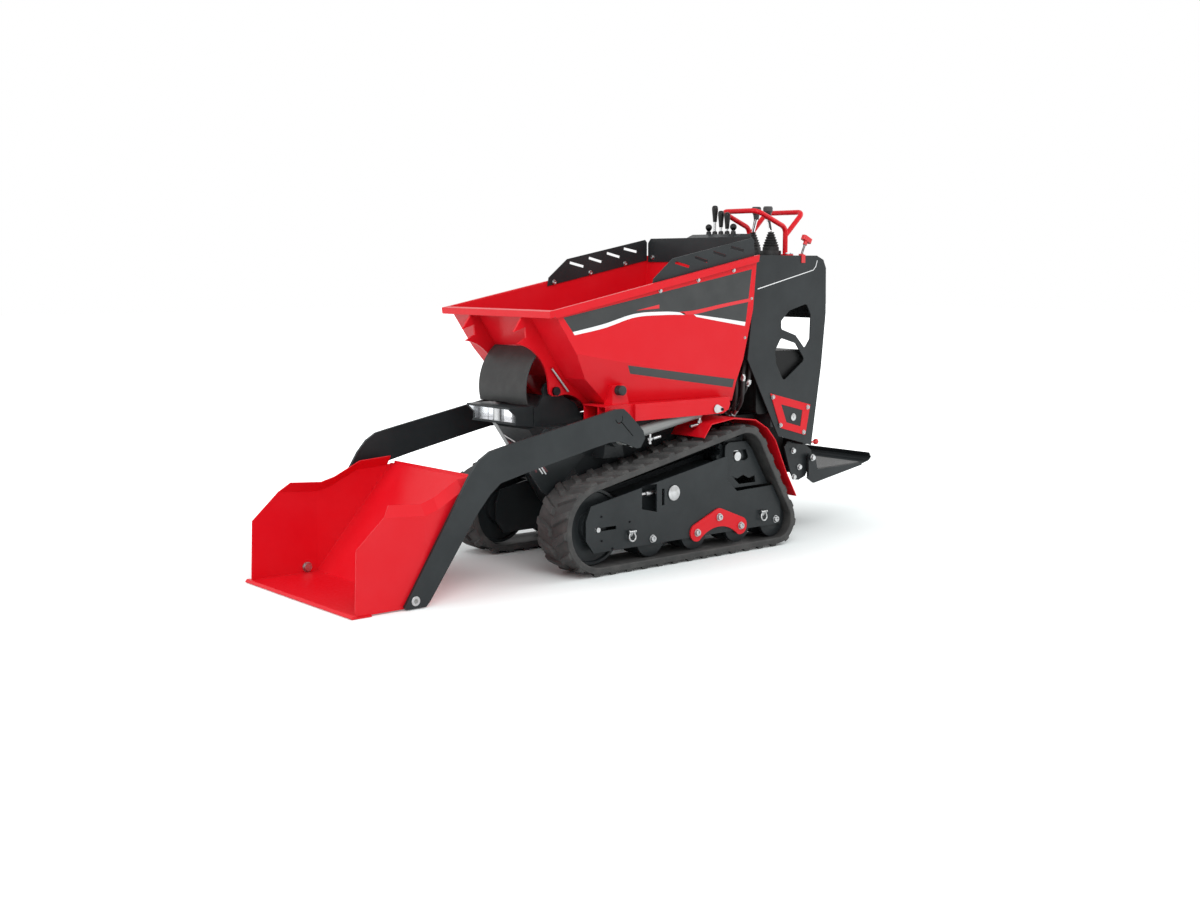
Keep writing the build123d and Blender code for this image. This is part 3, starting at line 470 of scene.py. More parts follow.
class Finish(Enum):
    """The finishes used on the machine."""

    RED = PowderCoat("powder_coated_steel_red", "#d80f1e", "#e8505a", 0.34)
    GRAPHITE = PowderCoat("powder_coated_steel_anthracite", "#222628", "#666c6e", 0.4)
    CYLINDER = PowderCoat("sprayed_enamel_light_grey", "#8d8f8e", "#b4b5b1", 0.32)
    CASTING = PowderCoat("sand_cast_iron_black_enamel", "#1d1e1e", "#4a4a48", 0.6, 4 * MM, 0.0)
    TRACK = TrackRubber("vulcanised_track_rubber", "#3a3a3a", "#5c5b59", 0.66)
    FLAP = TrackRubber("fabric_reinforced_rubber_sheet", "#2a2a2a", "#3c3c3b", 0.5)
    BELLOWS = TrackRubber("moulded_bellows_rubber", "#212122", "#424242", 0.55)
    ZINC = PlatedSteel("zinc_plated_steel", "#b9babb", "#8f8e8a", 0.3)
    CHROME = PlatedSteel("hard_chromed_rod", "#e4e6e8", "#c8cacc", 0.12, (0.1, 1.0, 1.0))
    PLASTIC = MouldedPlastic("moulded_black_nylon", "#060607", 0.3, bloom=0.0, shine=0.28)
    TANK = MouldedPlastic("rotomoulded_black_polyethylene", "#08090a", 0.4, 1.5 * MM, 0.01, 0.2)
    GRIP = MouldedPlastic("soft_touch_grip_dark_grey", "#2c2d2e", 0.5)
    RED_PLASTIC = MouldedPlastic("moulded_red_nylon", "#d3101c", 0.35)
    LINING = PlatedSteel("bright_annealed_stainless", "#f3f4f6", "#e4e5e8", 0.1)
    BLACKENED = PlatedSteel("blackened_steel", "#26272a", "#3a3a3a", 0.4)
    FILM_GREY = VinylFilm("cast_vinyl_film_anthracite", "#1d2122")
    FILM_WHITE = VinylFilm("cast_vinyl_film_white", "#f2f3f4")
    FILM_RED = VinylFilm("cast_vinyl_film_red", "#de1826")
    FILM_DIM = VinylFilm("cast_vinyl_film_dull_red", "#5c1622")
    GRIT = GritMat("grit_faced_rubber_mat", "#666767", "#989896")

    @property
    def material(self) -> Material:
        """The finish's material, made on first use."""
        return bpy.data.materials.get(self.value.name) or self.value.build()


class Body(Enum):
    """The frame's bodies that carry new pieces."""

    CHASSIS = "chassis"
    LOADER = "loader"
    SKIP = "skip"
    BARREL_LEFT = "barrel_left"
    BARREL_RIGHT = "barrel_right"
    LEVER_LEFT = "lever_left"
    LEVER_RIGHT = "lever_right"


# ------------------------------------------------------------------- surface helpers
def grid_faces(rows: int, columns: int, wrap_rows: bool = False, wrap_columns: bool = False) -> np.ndarray:
    """Quads that join neighbouring points of a grid.

    Args:
        rows: number of grid rows.
        columns: number of grid columns.
        wrap_rows: join the last row to the first.
        wrap_columns: join the last column to the first.

    Returns:
        Vertex indices, four to a face.
    """
    down = np.arange(rows if wrap_rows else rows - 1)
    over = np.arange(columns if wrap_columns else columns - 1)
    i, j = np.meshgrid(down, over, indexing="ij")
    k, m = (i + 1) % rows, (j + 1) % columns
    corners = (i * columns + j, i * columns + m, k * columns + m, k * columns + j)
    return np.stack(corners, -1).reshape(-1, 4)


def placed(name: str, data: Any) -> Object:
    """Make an object from its data and put it in the scene.

    Args:
        name: the object's name.
        data: mesh, lamp or camera.

    Returns:
        The object.
    """
    made = bpy.data.objects.new(name, data)
    bpy.context.collection.objects.link(made)
    return made


def add_piece(
    name: str, points: np.ndarray, faces: Any, finish: Finish, body: Body | None, crease: float = 40.0
) -> Object:
    """Make a mesh piece at its place, finished and riding on a body.

    Args:
        name: the piece's name.
        points: vertex places in millimetres, any leading shape by three.
        faces: vertex indices of each face, as an array or a list.
        finish: the finish that it wears.
        body: the body that carries it, or None for a piece that no body carries.
        crease: degrees between faces from which an edge stays sharp; 0 for flat faces.

    Returns:
        The object.
    """
    mesh = bpy.data.meshes.new(name)
    mesh.from_pydata(np.asarray(points, float).reshape(-1, 3) * MM, [], np.asarray(faces, object).tolist())
    mesh.validate()
    mesh.materials.append(finish.material)
    piece = placed(name, mesh)
    edit = bmesh.new()
    edit.from_mesh(mesh)
    bmesh.ops.remove_doubles(edit, verts=edit.verts, dist=MERGE)
    bmesh.ops.recalc_face_normals(edit, faces=edit.faces)
    edit.to_mesh(mesh)
    edit.free()
    if crease:
        mesh.shade_smooth()
        mesh.set_sharp_from_angle(angle=math.radians(crease))
    if body:
        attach(piece, body.value)
    LOG.info("  %s: %d faces on %s", name, len(mesh.polygons), body.value if body else "two bodies")
    return piece


def lathe(
    profile: Any, segments: int = 24, size: float = 1.0, flats: Sequence[int] = (), across: float = 0.0
) -> np.ndarray:
    """Revolve (radius, height) points about +Z, with chosen rings made hexagons.

    A point at angle a is (r cos a, r sin a, h). A hexagon's radius is half its width
    over the cosine of a's distance to the middle of its flat.

    Args:
        profile: radius and height of each ring.
        segments: points on each ring.
        size: what a unit of the profile measures.
        flats: rings that are hexagons.
        across: their width across flats.

    Returns:
        Grid of rings by points by three.
    """
    ring = np.asarray(profile, float)
    angle = np.linspace(0.0, 2.0 * math.pi, segments, endpoint=False)
    radius = np.repeat(ring[:, :1], segments, 1)
    sector = math.pi / 3
    radius[list(flats)] = across / 2 / np.cos((angle + sector / 2) % sector - sector / 2)
    height = np.repeat(ring[:, 1:], segments, 1)
    return np.stack((radius * np.cos(angle), radius * np.sin(angle), height), -1) * size


def unit(vector: Any) -> np.ndarray:
    """Vectors scaled to length one along their last axis."""
    array = np.asarray(vector, float)
    return array / np.maximum(np.linalg.norm(array, axis=-1, keepdims=True), 1e-12)


def turned_to(grid: np.ndarray, origins: np.ndarray, axes: np.ndarray) -> np.ndarray:
    """Place copies of a grid with its +Z along each axis.

    The side vector is the axis crossed with the world direction it is furthest from.

    Args:
        grid: rows by columns by three, round +Z.
        origins: place of each copy.
        axes: direction of each copy's +Z.

    Returns:
        Copies by rows by columns by three.
    """
    up = unit(axes)
    spare = np.eye(3)[np.abs(up).argmin(-1)]
    side = unit(np.cross(up, spare))
    basis = np.stack((side, np.cross(up, side), up), 1)
    return np.einsum("rck,nkj->nrcj", grid, basis) + origins[:, None, None, :]


def add_copies(name: str, grid: np.ndarray, origins: Any, axes: Any, finish: Finish, body: Body) -> Object:
    """Join copies of a closed ring grid, one at each place, into one piece.

    Args:
        name: the piece's name.
        grid: rings round +Z whose first and last ring close on the axis.
        origins: place of each copy.
        axes: direction of each copy, or one for all.
        finish: the finish.
        body: the body that carries them.

    Returns:
        The object.
    """
    places = np.atleast_2d(np.asarray(origins, float))
    directions = np.broadcast_to(np.atleast_2d(np.asarray(axes, float)), places.shape)
    copies = turned_to(grid, places, directions)
    rows, columns = grid.shape[:2]
    shift = np.arange(len(places))[:, None, None] * rows * columns
    faces = grid_faces(rows, columns, wrap_columns=True) + shift
    return add_piece(name, copies, faces.reshape(-1, 4), finish, body)


def both_sides(points: Sequence[Point], outwards: float = 1.0) -> tuple[np.ndarray, np.ndarray]:
    """Places and their mirror images, with axes that point sideways.

    Args:
        points: (x, y, z) on the left side.
        outwards: 1 for axes away from the middle plane, -1 for towards it.

    Returns:
        The places, and their axes.
    """
    left = np.array(points, float)
    places = np.concatenate((left, left * (1, -1, 1)))
    axes = np.zeros_like(places)
    axes[:, 1] = np.sign(places[:, 1]) * outwards
    return places, axes


def smooth_line(points: Any, samples: int = 12) -> np.ndarray:
    """Catmull-Rom curve through points.

    Between two points it is the cubic whose slope at each is half the step between
    its neighbours.

    Args:
        points: the points, any number of coordinates.
        samples: steps between two points.

    Returns:
        The sampled curve.
    """
    p = np.asarray(points, float)
    p = np.concatenate((2 * p[:1] - p[1:2], p, 2 * p[-1:] - p[-2:-1]))
    t = np.linspace(0.0, 1.0, samples, endpoint=False)[None, :, None]
    a, b, c, d = (p[i : len(p) - 3 + i, None, :] for i in range(4))
    curve = b + 0.5 * t * (c - a + t * (2 * a - 5 * b + 4 * c - d + t * (3 * b - a - 3 * c + d)))
    return np.concatenate((curve.reshape(-1, p.shape[1]), p[-2:-1]))


def add_pipe(name: str, path: np.ndarray, radius: Any, finish: Finish, body: Body, segments: int) -> Object:
    """Make a closed tube round a path: a circle square to the path at each point.

    Args:
        name: the piece's name.
        path: centre line.
        radius: one radius, or one for each point.
        finish: the finish.
        body: the body that carries it.
        segments: points round the tube.

    Returns:
        The object.
    """
    along = unit(np.gradient(path, axis=0))
    spare = np.eye(3)[np.abs(along).mean(0).argmin()]
    side = unit(np.cross(along, spare))
    over = np.cross(along, side)
    angle = np.linspace(0.0, 2.0 * math.pi, segments, endpoint=False)[None, :, None]
    size = np.broadcast_to(np.asarray(radius, float), (len(path),))[:, None, None]
    rings = path[:, None] + size * (side[:, None] * np.cos(angle) + over[:, None] * np.sin(angle))
    first, last = (np.repeat(path[i][None, None], segments, 1) for i in (0, -1))
    grid = np.concatenate((first, rings, last))
    faces = grid_faces(*grid.shape[:2], wrap_columns=True)
    return add_piece(name, grid, faces, finish, body, crease=60.0)


def add_slab(name: str, outlines: Any, lift: Any, finish: Finish, body: Body) -> Object:
    """Make thin flat slabs: each outline, and the same moved by its lift.

    Args:
        name: the piece's name.
        outlines: points of one outline, or of several with as many points each.
        lift: vector from an outline to the slab's outer face, one for all or for each.
        finish: the finish.
        body: the body that carries it.

    Returns:
        The object.
    """
    outline = np.asarray(outlines, float)
    outline = outline.reshape(-1, *outline.shape[-2:])
    loops, count = outline.shape[:2]
    rings = np.stack((outline, outline + np.asarray(lift, float).reshape(-1, 1, 3)), 1)
    rim = grid_faces(2, count, wrap_columns=True)
    faces = []
    for first in range(0, loops * 2 * count, 2 * count):
        faces += (rim + first).tolist()
        faces += [list(range(first, first + count)), list(range(first + count, first + 2 * count))]
    return add_piece(name, rings, faces, finish, body, crease=0.0)


def add_side_slabs(
    name: str, outline: Any, lift: Any, finish: Finish, body: Body, signs: Sequence[int] = (1, -1)
) -> Object:
    """Make one slab on each side of the machine.

    Args:
        name: the piece's name.
        outline: points on the left side.
        lift: vector from the outline to the slab's outer face there.
        finish: the finish.
        body: the body that carries them.
        signs: 1 for the left side, -1 for the right.

    Returns:
        The object.
    """
    mirrors = np.array([(1, sign, 1) for sign in signs], float)
    return add_slab(name, np.asarray(outline, float) * mirrors[:, None], lift * mirrors, finish, body)


# ---------------------------------------------------------------------------- studio
@dataclass
class Studio:
    """Floor, lamps and camera (metres and degrees)."""

    eye: Point = (3.8485, 4.5874, 1.1746)
    heading: float = 50.04  # from -X towards -Y
    pitch: float = 7.165
    lens: float = 44.25
    sensor: float = 36.0
    sight: float = 100.0  # how far the camera sees
    ambient: float = 0.62
    paper: str = "#f0f6f6"  # cool, against the red glow in the machine's shadow
    half_floor: float = 30.0
    oval: Point = (0.45, 1.0, 1.0)  # the floor's shaded oval is long in X
    shaded: Pair = (0.3, 2.1)  # distances at which the shade starts to fade and is gone
    # place, size, power, aim
    lamps: tuple = (
        ((2.0, 3.6, 3.8), 3.0, 110.0, (0.0, 0.0, 0.5)),
        ((4.5, -0.5, 2.6), 2.5, 70.0, (0.0, 0.0, 0.4)),
        ((-3.5, 2.0, 3.0), 2.5, 50.0, (0.0, 0.0, 0.5)),
    )

    def build(self) -> None:
        """Make the camera, the world, the floor and the lamps."""
        self.camera()
        self.world()
        self.floor()
        for i, lamp in enumerate(self.lamps):
            self.lamp(f"softbox_{i + 1}", *lamp)
        bpy.context.scene.view_settings.view_transform = "Standard"

    def camera(self) -> None:
        """Point the camera level-sided along its heading."""
        data = bpy.data.cameras.new("view")
        data.lens, data.sensor_width, data.clip_end = self.lens, self.sensor, self.sight
        camera = placed("view", data)
        camera.location = self.eye
        camera.rotation_euler = (math.radians(90.0 - self.pitch), 0.0, math.radians(90.0 + self.heading))
        bpy.context.scene.camera = camera

    def lamp(self, name: str, place: Point, size: float, power: float, aim: Point) -> None:
        """Add a square soft lamp that looks at a point.

        Args:
            name: its name.
            place: where it hangs.
            size: width of the square.
            power: power in watts.
            aim: the point.
        """
        data = bpy.data.lights.new(name, "AREA")
        data.size, data.energy = size, power
        lamp = placed(name, data)
        lamp.location = place
        x, y, z = np.subtract(aim, place)
        lamp.rotation_euler = (math.atan2(math.hypot(x, y), -z), 0.0, math.atan2(y, x) - math.pi / 2)

    def world(self) -> None:
        """White to the camera and in reflections, plain soft grey light otherwise."""
        world = bpy.data.worlds.new("studio")
        world.use_nodes = True
        tree = world.node_tree
        tree.nodes.clear()
        span = {0: seen_directly(tree), 1: 0.0, 2: 1.0, 3: self.ambient, 4: 1.0}
        level = add_node(tree, "ShaderNodeMapRange", span).outputs[0]
        light = add_node(tree, "ShaderNodeBackground", {"Color": linear("#ffffff"), "Strength": level})
        add_node(tree, "ShaderNodeOutputWorld", {"Surface": light.outputs[0]})
        bpy.context.scene.world = world

    def floor(self) -> None:
        """A pale floor that keeps the machine's shadow."""
        mesh = bpy.data.meshes.new("floor")
        corners = np.array(((-1, -1, 0), (1, -1, 0), (1, 1, 0), (-1, 1, 0))) * self.half_floor
        mesh.from_pydata(corners, [], [(0, 1, 2, 3)])
        mesh.materials.append(self.floor_material())
        placed("floor", mesh)

    def floor_material(self) -> Material:
        """White paper that melts into the white backdrop away from the machine.

        Returns:
            The material.
        """
        material, shader, _ = blank_material("studio_floor")
        tree = material.node_tree
        place = add_node(tree, "ShaderNodeNewGeometry").outputs["Position"]
        oval = add_node(tree, "ShaderNodeVectorMath", {0: place, 1: self.oval}, operation="MULTIPLY")
        away = add_node(tree, "ShaderNodeVectorMath", {0: oval.outputs[0]}, operation="LENGTH")
        span = {0: away.outputs["Value"], 1: self.shaded[0], 2: self.shaded[1], 3: 0.0, 4: 1.0}
        far = add_node(tree, "ShaderNodeMapRange", span).outputs[0]
        shown = add_node(tree, "ShaderNodeMath", {0: far, 1: seen_directly(tree)}, operation="MULTIPLY")
        look = {
            "Base Color": linear(self.paper),
            "Roughness": 0.95,
            "Specular IOR Level": 0.0,
            "Emission Color": linear("#ffffff"),
            "Emission Strength": shown.outputs[0],
        }
        fill(shader, look)
        return material


# ------------------------------------------------------------------------ the machine
@dataclass
class PlainNodes:
    """Frame nodes whose shape stays as it is."""

    groups: tuple = (
        (Finish.RED, ("shovel_shell", "cutting_edge", "skip_tub", "skip_rails", "skip_gussets", "fenders",
                      "rocker_plates", "access_plates", "handlebar")),
        (Finish.GRAPHITE, ("loader_arm_left", "loader_arm_right", "chassis_frame", "hinge_tower",
                           "front_bracket", "track_frame_left", "track_frame_right", "console_panels",
                           "console_shell", "console_feet", "platform_tray", "platform_mount", "lever_dash",
                           "skip_boards", "sprocket_guards", "road_rollers", "idler_wheels",
                           "drive_sprockets")),
        (Finish.ZINC, ("skip_fittings", "shovel_bolts", "arm_shaft")),
        (Finish.PLASTIC, ("lever_bank",)),
        (Finish.TANK, ("oil_tank", "fuel_tank")),
        (Finish.GRIP, ("drive_lever_left", "drive_lever_right")),
        (Finish.TRACK, ("track_left", "track_right")),
        (Finish.BELLOWS, ("rubber_buffers", "lever_bellows_left", "lever_bellows_right")),
        (Finish.FLAP, ("rubber_flap",)),
        (Finish.CYLINDER, ("tip_barrel_left", "tip_barrel_right")),
        (Finish.CHROME, ("tip_rod_left", "tip_rod_right")),
        (Finish.CASTING, ("engine_block",)),
        (Finish.RED_PLASTIC, ("throttle_pull", "latch_knobs")),
        (Finish.GRIT, ("platform_mat",)),
        (Finish.LINING, ("bracket_lining",)),
        (Finish.BLACKENED, ("skip_hinge_pins",)),
    )

    def build(self) -> None:
        """Dress each group in its finish."""
        for finish, names in self.groups:
            self.dress(names, finish)

    def dress(self, names: Iterable[str], finish: Finish) -> None:
        """Give frame nodes a finish.

        Args:
            names: the nodes.
            finish: their finish.
        """
        for name in names:
            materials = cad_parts[name].data.materials
            materials.clear()
            materials.append(finish.material)
            LOG.info("  %s: %s", name, finish.value.name)


class Head(Enum):
    """Fastener heads for a thread of one unit, standing on z = 0.

    Each is a (radius, height) profile, its hexagonal rings and their width across flats.
    """

    HEX = (
        ((0, 0), (1.1, 0), (1.1, 0.16), (0.92, 0.17), (0.92, 0.66), (0.78, 0.8), (0, 0.8)),
        (3, 4), 1.6,
    )
    SOCKET = (
        ((0, 0), (0.98, 0), (0.98, 0.14), (0.8, 0.15), (0.8, 0.55), (0.72, 0.66), (0.45, 0.66), (0.42, 0.3),
         (0, 0.3)),
        (6, 7), 0.8,
    )

    def rings(self, thread: float) -> np.ndarray:
        """Rings of the head for a thread's diameter."""
        profile, flats, across = self.value
        return lathe(profile, size=thread, flats=flats, across=across)


@dataclass
class Fasteners:
    """Bolts, nuts and screws, grouped by the body that carries them (mm)."""

    # name, body, head, thread, side (1 outwards, -1 inwards), finish, (x, y, z) on the left
    groups: tuple = (
        ("roller_bolts", Body.CHASSIS, Head.SOCKET, 16, 1, Finish.ZINC, ((38, 360, 110), (-659, 360, 111))),
        ("rocker_bolts", Body.CHASSIS, Head.SOCKET, 16, 1, Finish.ZINC,
         ((-197, 367, 107), (-320, 367, 157), (-444, 367, 108))),
        ("tension_bolts", Body.CHASSIS, Head.HEX, 12, 1, Finish.ZINC, ((316, 354, 176),)),
        ("sprocket_hub_bolts", Body.CHASSIS, Head.HEX, 24, 1, Finish.ZINC, ((-449, 322, 392),)),
        ("frame_screws", Body.CHASSIS, Head.SOCKET, 5, 1, Finish.BLACKENED,
         ((299, 360, 225), (298, 360, 132), (244, 360, 96), (157, 360, 190))),
        ("access_screws", Body.CHASSIS, Head.SOCKET, 10, 1, Finish.ZINC,
         ((-703, 293, 619), (-921, 293, 563), (-752, 293, 496), (-898, 293, 456))),
        ("bracket_bolts", Body.CHASSIS, Head.HEX, 12, 1, Finish.ZINC,
         ((-902, 230, 368), (-943, 230, 293), (-908, 230, 252))),
        ("platform_pin_heads", Body.CHASSIS, Head.HEX, 13, 1, Finish.ZINC, ((-1000, 256, 332),)),
        ("shovel_pivot_nuts", Body.LOADER, Head.HEX, 18, -1, Finish.ZINC, ((1153, 371, 30),)),
        ("board_bolts", Body.SKIP, Head.SOCKET, 11, -1, Finish.ZINC,
         ((-17, 326.5, 1101), (-214, 326.5, 1140), (-411, 326.5, 1179))),
        ("board_nuts", Body.SKIP, Head.HEX, 8, 1, Finish.ZINC,
         ((-19, 335, 1074), (-221, 335, 1114), (-418, 335, 1152))),
        ("skip_side_screws", Body.SKIP, Head.SOCKET, 6, 1, Finish.ZINC,
         ((-524, 335, 1037), (-487, 335, 878))),
        ("keeper_screws", Body.SKIP, Head.SOCKET, 7, 1, Finish.BLACKENED, ((-343, 355, 594),)),
    )
    pivot: Point = (1153.0, 388.3, 30.0)
    pivot_cap: tuple = ((0, 0), (17, 0), (17, 0.8), (16.2, 1.6), (9.4, 1.6), (9.0, 0.6), (0, 0.6))
    # grey disc in the cap's socket: painted shade of the recess
    pivot_socket_shade: tuple = ((0, 0.5), (9, 0.5), (9, 0.9), (5.2, 0.9), (4.8, 0.7), (0, 0.7))
    board_thread: float = 11.0
    board_feet: tuple = ((-542, -290, 1206), (-542, 290, 1206))
    bar_thread: float = 8.0
    bar_feet: tuple = ((-978, -131, 1220), (-978, 131, 1220), (-949, -131, 1220), (-949, 131, 1220))

    def build(self) -> None:
        """Make each group on both sides of the machine."""
        for name, body, head, thread, side, finish, places in self.groups:
            add_copies(name, head.rings(thread), *both_sides(places, side), finish, body)
        self.pivots()
        self.across()

    def pivots(self) -> None:
        """Flat cap screws that carry the shovel, with a grey hexagon disc in each socket as painted shade of
        the recess.
        """
        places = both_sides((self.pivot,))
        cap = lathe(self.pivot_cap, 36, flats=(4, 5), across=16)
        piece = add_copies("shovel_pivot_bolts", cap, *places, Finish.ZINC, Body.LOADER)
        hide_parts("shovel_bolts")
        # the socket's recess is shaded by a grey hexagon disc: painted shade
        socket = lathe(self.pivot_socket_shade, 36, flats=(1, 2), across=15.6)
        add_copies("shovel_pivot_socket_shades", socket, *places, Finish.CYLINDER, Body.LOADER)

    def across(self) -> None:
        """Bolts whose axes lie along the machine or upright."""
        along, up = (1, 0, 0), (0, 0, 1)
        head = Head.SOCKET.rings(self.board_thread)
        add_copies("rear_board_bolts", head, self.board_feet, along, Finish.ZINC, Body.SKIP)
        head = Head.HEX.rings(self.bar_thread)
        add_copies("handlebar_foot_bolts", head, self.bar_feet, up, Finish.ZINC, Body.CHASSIS)


@dataclass
class RubberTracks:
    """Rubber tracks: a belt round three drums with slanted lugs moulded on it (mm)."""

    # drums as x, z and the belt's outer radius: idler, sprocket, rear roller
    drums: tuple[Point, ...] = ((318.0, 184.0, 172.0), (-449.0, 392.0, 125.0), (-650.0, 109.0, 97.0))
    inner: float = 210.0
    outer: float = 390.0
    edge: float = 3.0  # rounding of the belt's edge, where the lugs end
    # inset from the belt's edge, and depth: from under the lugs round to the wheels' path
    section: tuple[Pair, ...] = (
        (3.5, 1.0), (3.0, 0.0), (0.8, 0.8), (0.0, 3.0), (0.0, 21.0), (3.0, 24.0), (42.0, 24.0), (46.0, 21.5),
    )
    pitches: int = 37
    lug: float = 12.0
    lug_length: float = 24.0
    slant: float = 44.0
    draft: float = 5.0  # how much a lug's wall leans outwards at its foot
    # inset from a row's side, and share of the lug's height there
    wall: tuple[Pair, ...] = ((0.0, 0.0), (2.0, 0.0), (7.0, 0.96), (30.0, 1.0))  # at the belt's middle
    fade: tuple[Pair, ...] = ((0.0, 0.0), (1.2, 0.75), (6.0, 0.97))  # at its edge
    root: float = 2.0  # depth to which the lugs' skin is closed inside the belt
    gap_steps: int = 6
    top_steps: int = 4
    arc_steps: int = 120
    belt_steps: int = 288

    def loop(self) -> tuple[np.ndarray, np.ndarray]:
        """Closed line of the belt's outer face and its outward normals.

        Each drum gives an arc between its tangent lines.

        Returns:
            Points and normals in (x, z), the last point repeating the first.
        """
        centres = np.array(self.drums)
        steps = np.roll(centres, -1, 0) - centres
        lean = np.arcsin(-steps[:, 2] / np.hypot(steps[:, 0], steps[:, 1]))
        leave = np.arctan2(steps[:, 1], steps[:, 0]) - math.pi / 2 + lean
        arrive = np.roll(leave, 1)
        leave = arrive + (leave - arrive) % (2 * math.pi)
        angle = np.linspace(arrive, leave, self.arc_steps, axis=-1)
        normal = np.stack((np.cos(angle), np.sin(angle)), -1)
        arc = centres[:, None, :2] + centres[:, None, 2:] * normal
        line, facing = arc.reshape(-1, 2), normal.reshape(-1, 2)
        return np.concatenate((line, line[:1])), np.concatenate((facing, facing[:1]))

    def run(self) -> np.ndarray:
        """Distance along the loop of each of its points."""
        line, _ = self.loop()
        return np.concatenate(([0.0], np.cumsum(np.linalg.norm(np.diff(line, axis=0), axis=1))))

    def at(self, share: np.ndarray) -> tuple[np.ndarray, np.ndarray]:
        """Evenly spaced places on the loop.

        Args:
            share: how far round the loop each place is, 0 to 1; it may wrap.

        Returns:
            Points and unit normals in (x, z), with the shape of the shares.
        """
        line, facing = self.loop()
        run = self.run()
        where = (share % 1.0) * run[-1]
        point = np.stack([np.interp(where, run, line[:, k]) for k in (0, 1)], -1)
        normal = np.stack([np.interp(where, run, facing[:, k]) for k in (0, 1)], -1)
        return point, unit(normal)

    def lug_row(self, low: float, high: float, slant: float, phase: float) -> np.ndarray:
        """Skin of one row of lugs, closed underneath inside the belt.

        Height is the lug's height on its top, falling to nothing across the draft at
        its walls and more gently at the belt's edge; the lines across the belt follow
        the lug's slant.

        Args:
            low: row's side nearer the middle of the machine.
            high: its other side.
            slant: lead of the high side over the low one.
            phase: start as a share of a pitch.

        Returns:
            Grid round the loop by across by three.
        """
        length = self.run()[-1]
        pitch = length / self.pitches
        half = self.lug_length / 2
        foot = half + self.draft
        top = np.linspace(-half, half, self.top_steps)
        gap = np.linspace(foot, pitch - foot, self.gap_steps)
        along = (np.arange(self.pitches)[:, None] * pitch + np.concatenate(((-foot,), top, gap))).ravel()
        raised = np.tile(np.concatenate(((0.0,), np.ones(len(top)), np.zeros(len(gap)))), self.pitches)
        first, last = (self.fade, self.wall) if slant < 0 else (self.wall, self.fade)
        (near, rise), (far, fall) = np.array(first).T, np.array(last[::-1]).T
        across = np.concatenate((low + near, high - far))
        lead = slant * (across - (low + high) / 2) / (high - low)
        point, normal = self.at((along[:, None] + lead + phase * pitch) / length)
        height = raised[:, None] * np.concatenate((rise, fall)) * self.lug
        under = (point - normal * self.root)[:, [-1, 0]]
        place = np.concatenate((point + normal * height[..., None], under), 1)
        y = np.broadcast_to(np.append(across, across[[-1, 0]]), place.shape[:2])
        return np.stack((place[..., 0], y, place[..., 1]), -1)

    def band(self) -> np.ndarray:
        """The belt: its section and the section's mirror image, swept round the loop.

        Returns:
            Grid round the loop by points of the section by three.
        """
        inset, depth = np.array(self.section).T
        across = np.concatenate((self.outer - inset, self.inner + inset[::-1]))
        depths = np.concatenate((depth, depth[::-1]))
        point, normal = self.at(np.linspace(0.0, 1.0, self.belt_steps, endpoint=False))
        place = point[:, None] - normal[:, None] * depths[:, None]
        y = np.broadcast_to(across, place.shape[:2])
        return np.stack((place[..., 0], y, place[..., 1]), -1)

    def build(self) -> None:
        """Make the track of each side as one piece."""
        middle = (self.inner + self.outer) / 2
        grids = (
            self.lug_row(middle, self.outer - self.edge, self.slant, 0.0),
            self.lug_row(self.inner + self.edge, middle, -self.slant, 0.5),
            self.band(),
        )
        cloud = np.concatenate([grid.reshape(-1, 3) for grid in grids])
        faces, first = [], 0
        for grid in grids:
            rows, columns = grid.shape[:2]
            faces.append(grid_faces(rows, columns, wrap_rows=True, wrap_columns=True) + first)
            first += rows * columns
        quads = np.concatenate(faces)
        for side, sign in SIDES:
            name = f"moulded_track_{side}"
            piece = add_piece(name, cloud * (1, sign, 1), quads, Finish.TRACK, Body.CHASSIS, crease=35.0)
            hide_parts(f"track_{side}")


@dataclass
class LipBead:
    """Weld bead that closes the corner between the skip's front wall and its rim (mm)."""

    section: tuple[Pair, ...] = (
        (507.0, 1004.4), (508.4, 1006.8), (510.2, 1008.0), (512.7, 1008.5), (512.3, 1000.0), (508.9, 986.8),
        (495.2, 986.4),
    )
    half_width: float = 334.0

    def build(self) -> None:
        """Draw the bead's section across the skip."""
        flat = [(x, -self.half_width, z) for x, z in self.section]
        add_slab("skip_lip_bead", flat, (0.0, 2 * self.half_width, 0.0), Finish.RED, Body.SKIP)


@dataclass
class RubberFlap:
    """Rubber sheet that bridges the skip's front wall and the tool bracket (mm)."""

    centre: Pair = (294.0, 700.0)
    radius: float = 202.5
    low: float = -14.5  # degrees round the centre, above level
    high: float = 52.5
    half_width: float = 153.5
    thick: float = 4.6
    turn: float = 1.4  # radius of its rounded edges
    thinned: float = 0.4  # share of the thickness that is left at its two ends
    steps: int = 49

    def build(self) -> None:
        """Bow the sheet, which rides on no body.

        A ring of the section runs round the sheet's thickness and is swept along the
        bow; the first and last rings are thinner.
        """
        half, t, turn = self.half_width, self.thick / 2, self.turn
        corners = np.array(((half, t - turn), (half - turn, t), (turn - half, t), (-half, t - turn)))
        ring = np.concatenate((corners, -corners))
        angle = np.radians(np.linspace(self.low, self.high, self.steps))
        angle = np.concatenate((angle[:1], angle, angle[-1:]))[:, None]
        share = np.ones_like(angle)
        share[[0, -1]] = self.thinned
        radius = self.radius + ring[:, 1] * share
        x = self.centre[0] + radius * np.cos(angle)
        z = self.centre[1] + radius * np.sin(angle)
        grid = np.stack((x, np.broadcast_to(ring[:, 0], x.shape), z), -1)
        rows, columns = grid.shape[:2]
        faces = grid_faces(rows, columns, wrap_columns=True).tolist()
        faces += [list(range(columns)), list(range((rows - 1) * columns, rows * columns))]
        piece = add_piece("bowed_rubber_flap", grid, faces, Finish.FLAP, None, crease=30.0)
        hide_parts("rubber_flap")
        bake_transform(piece)


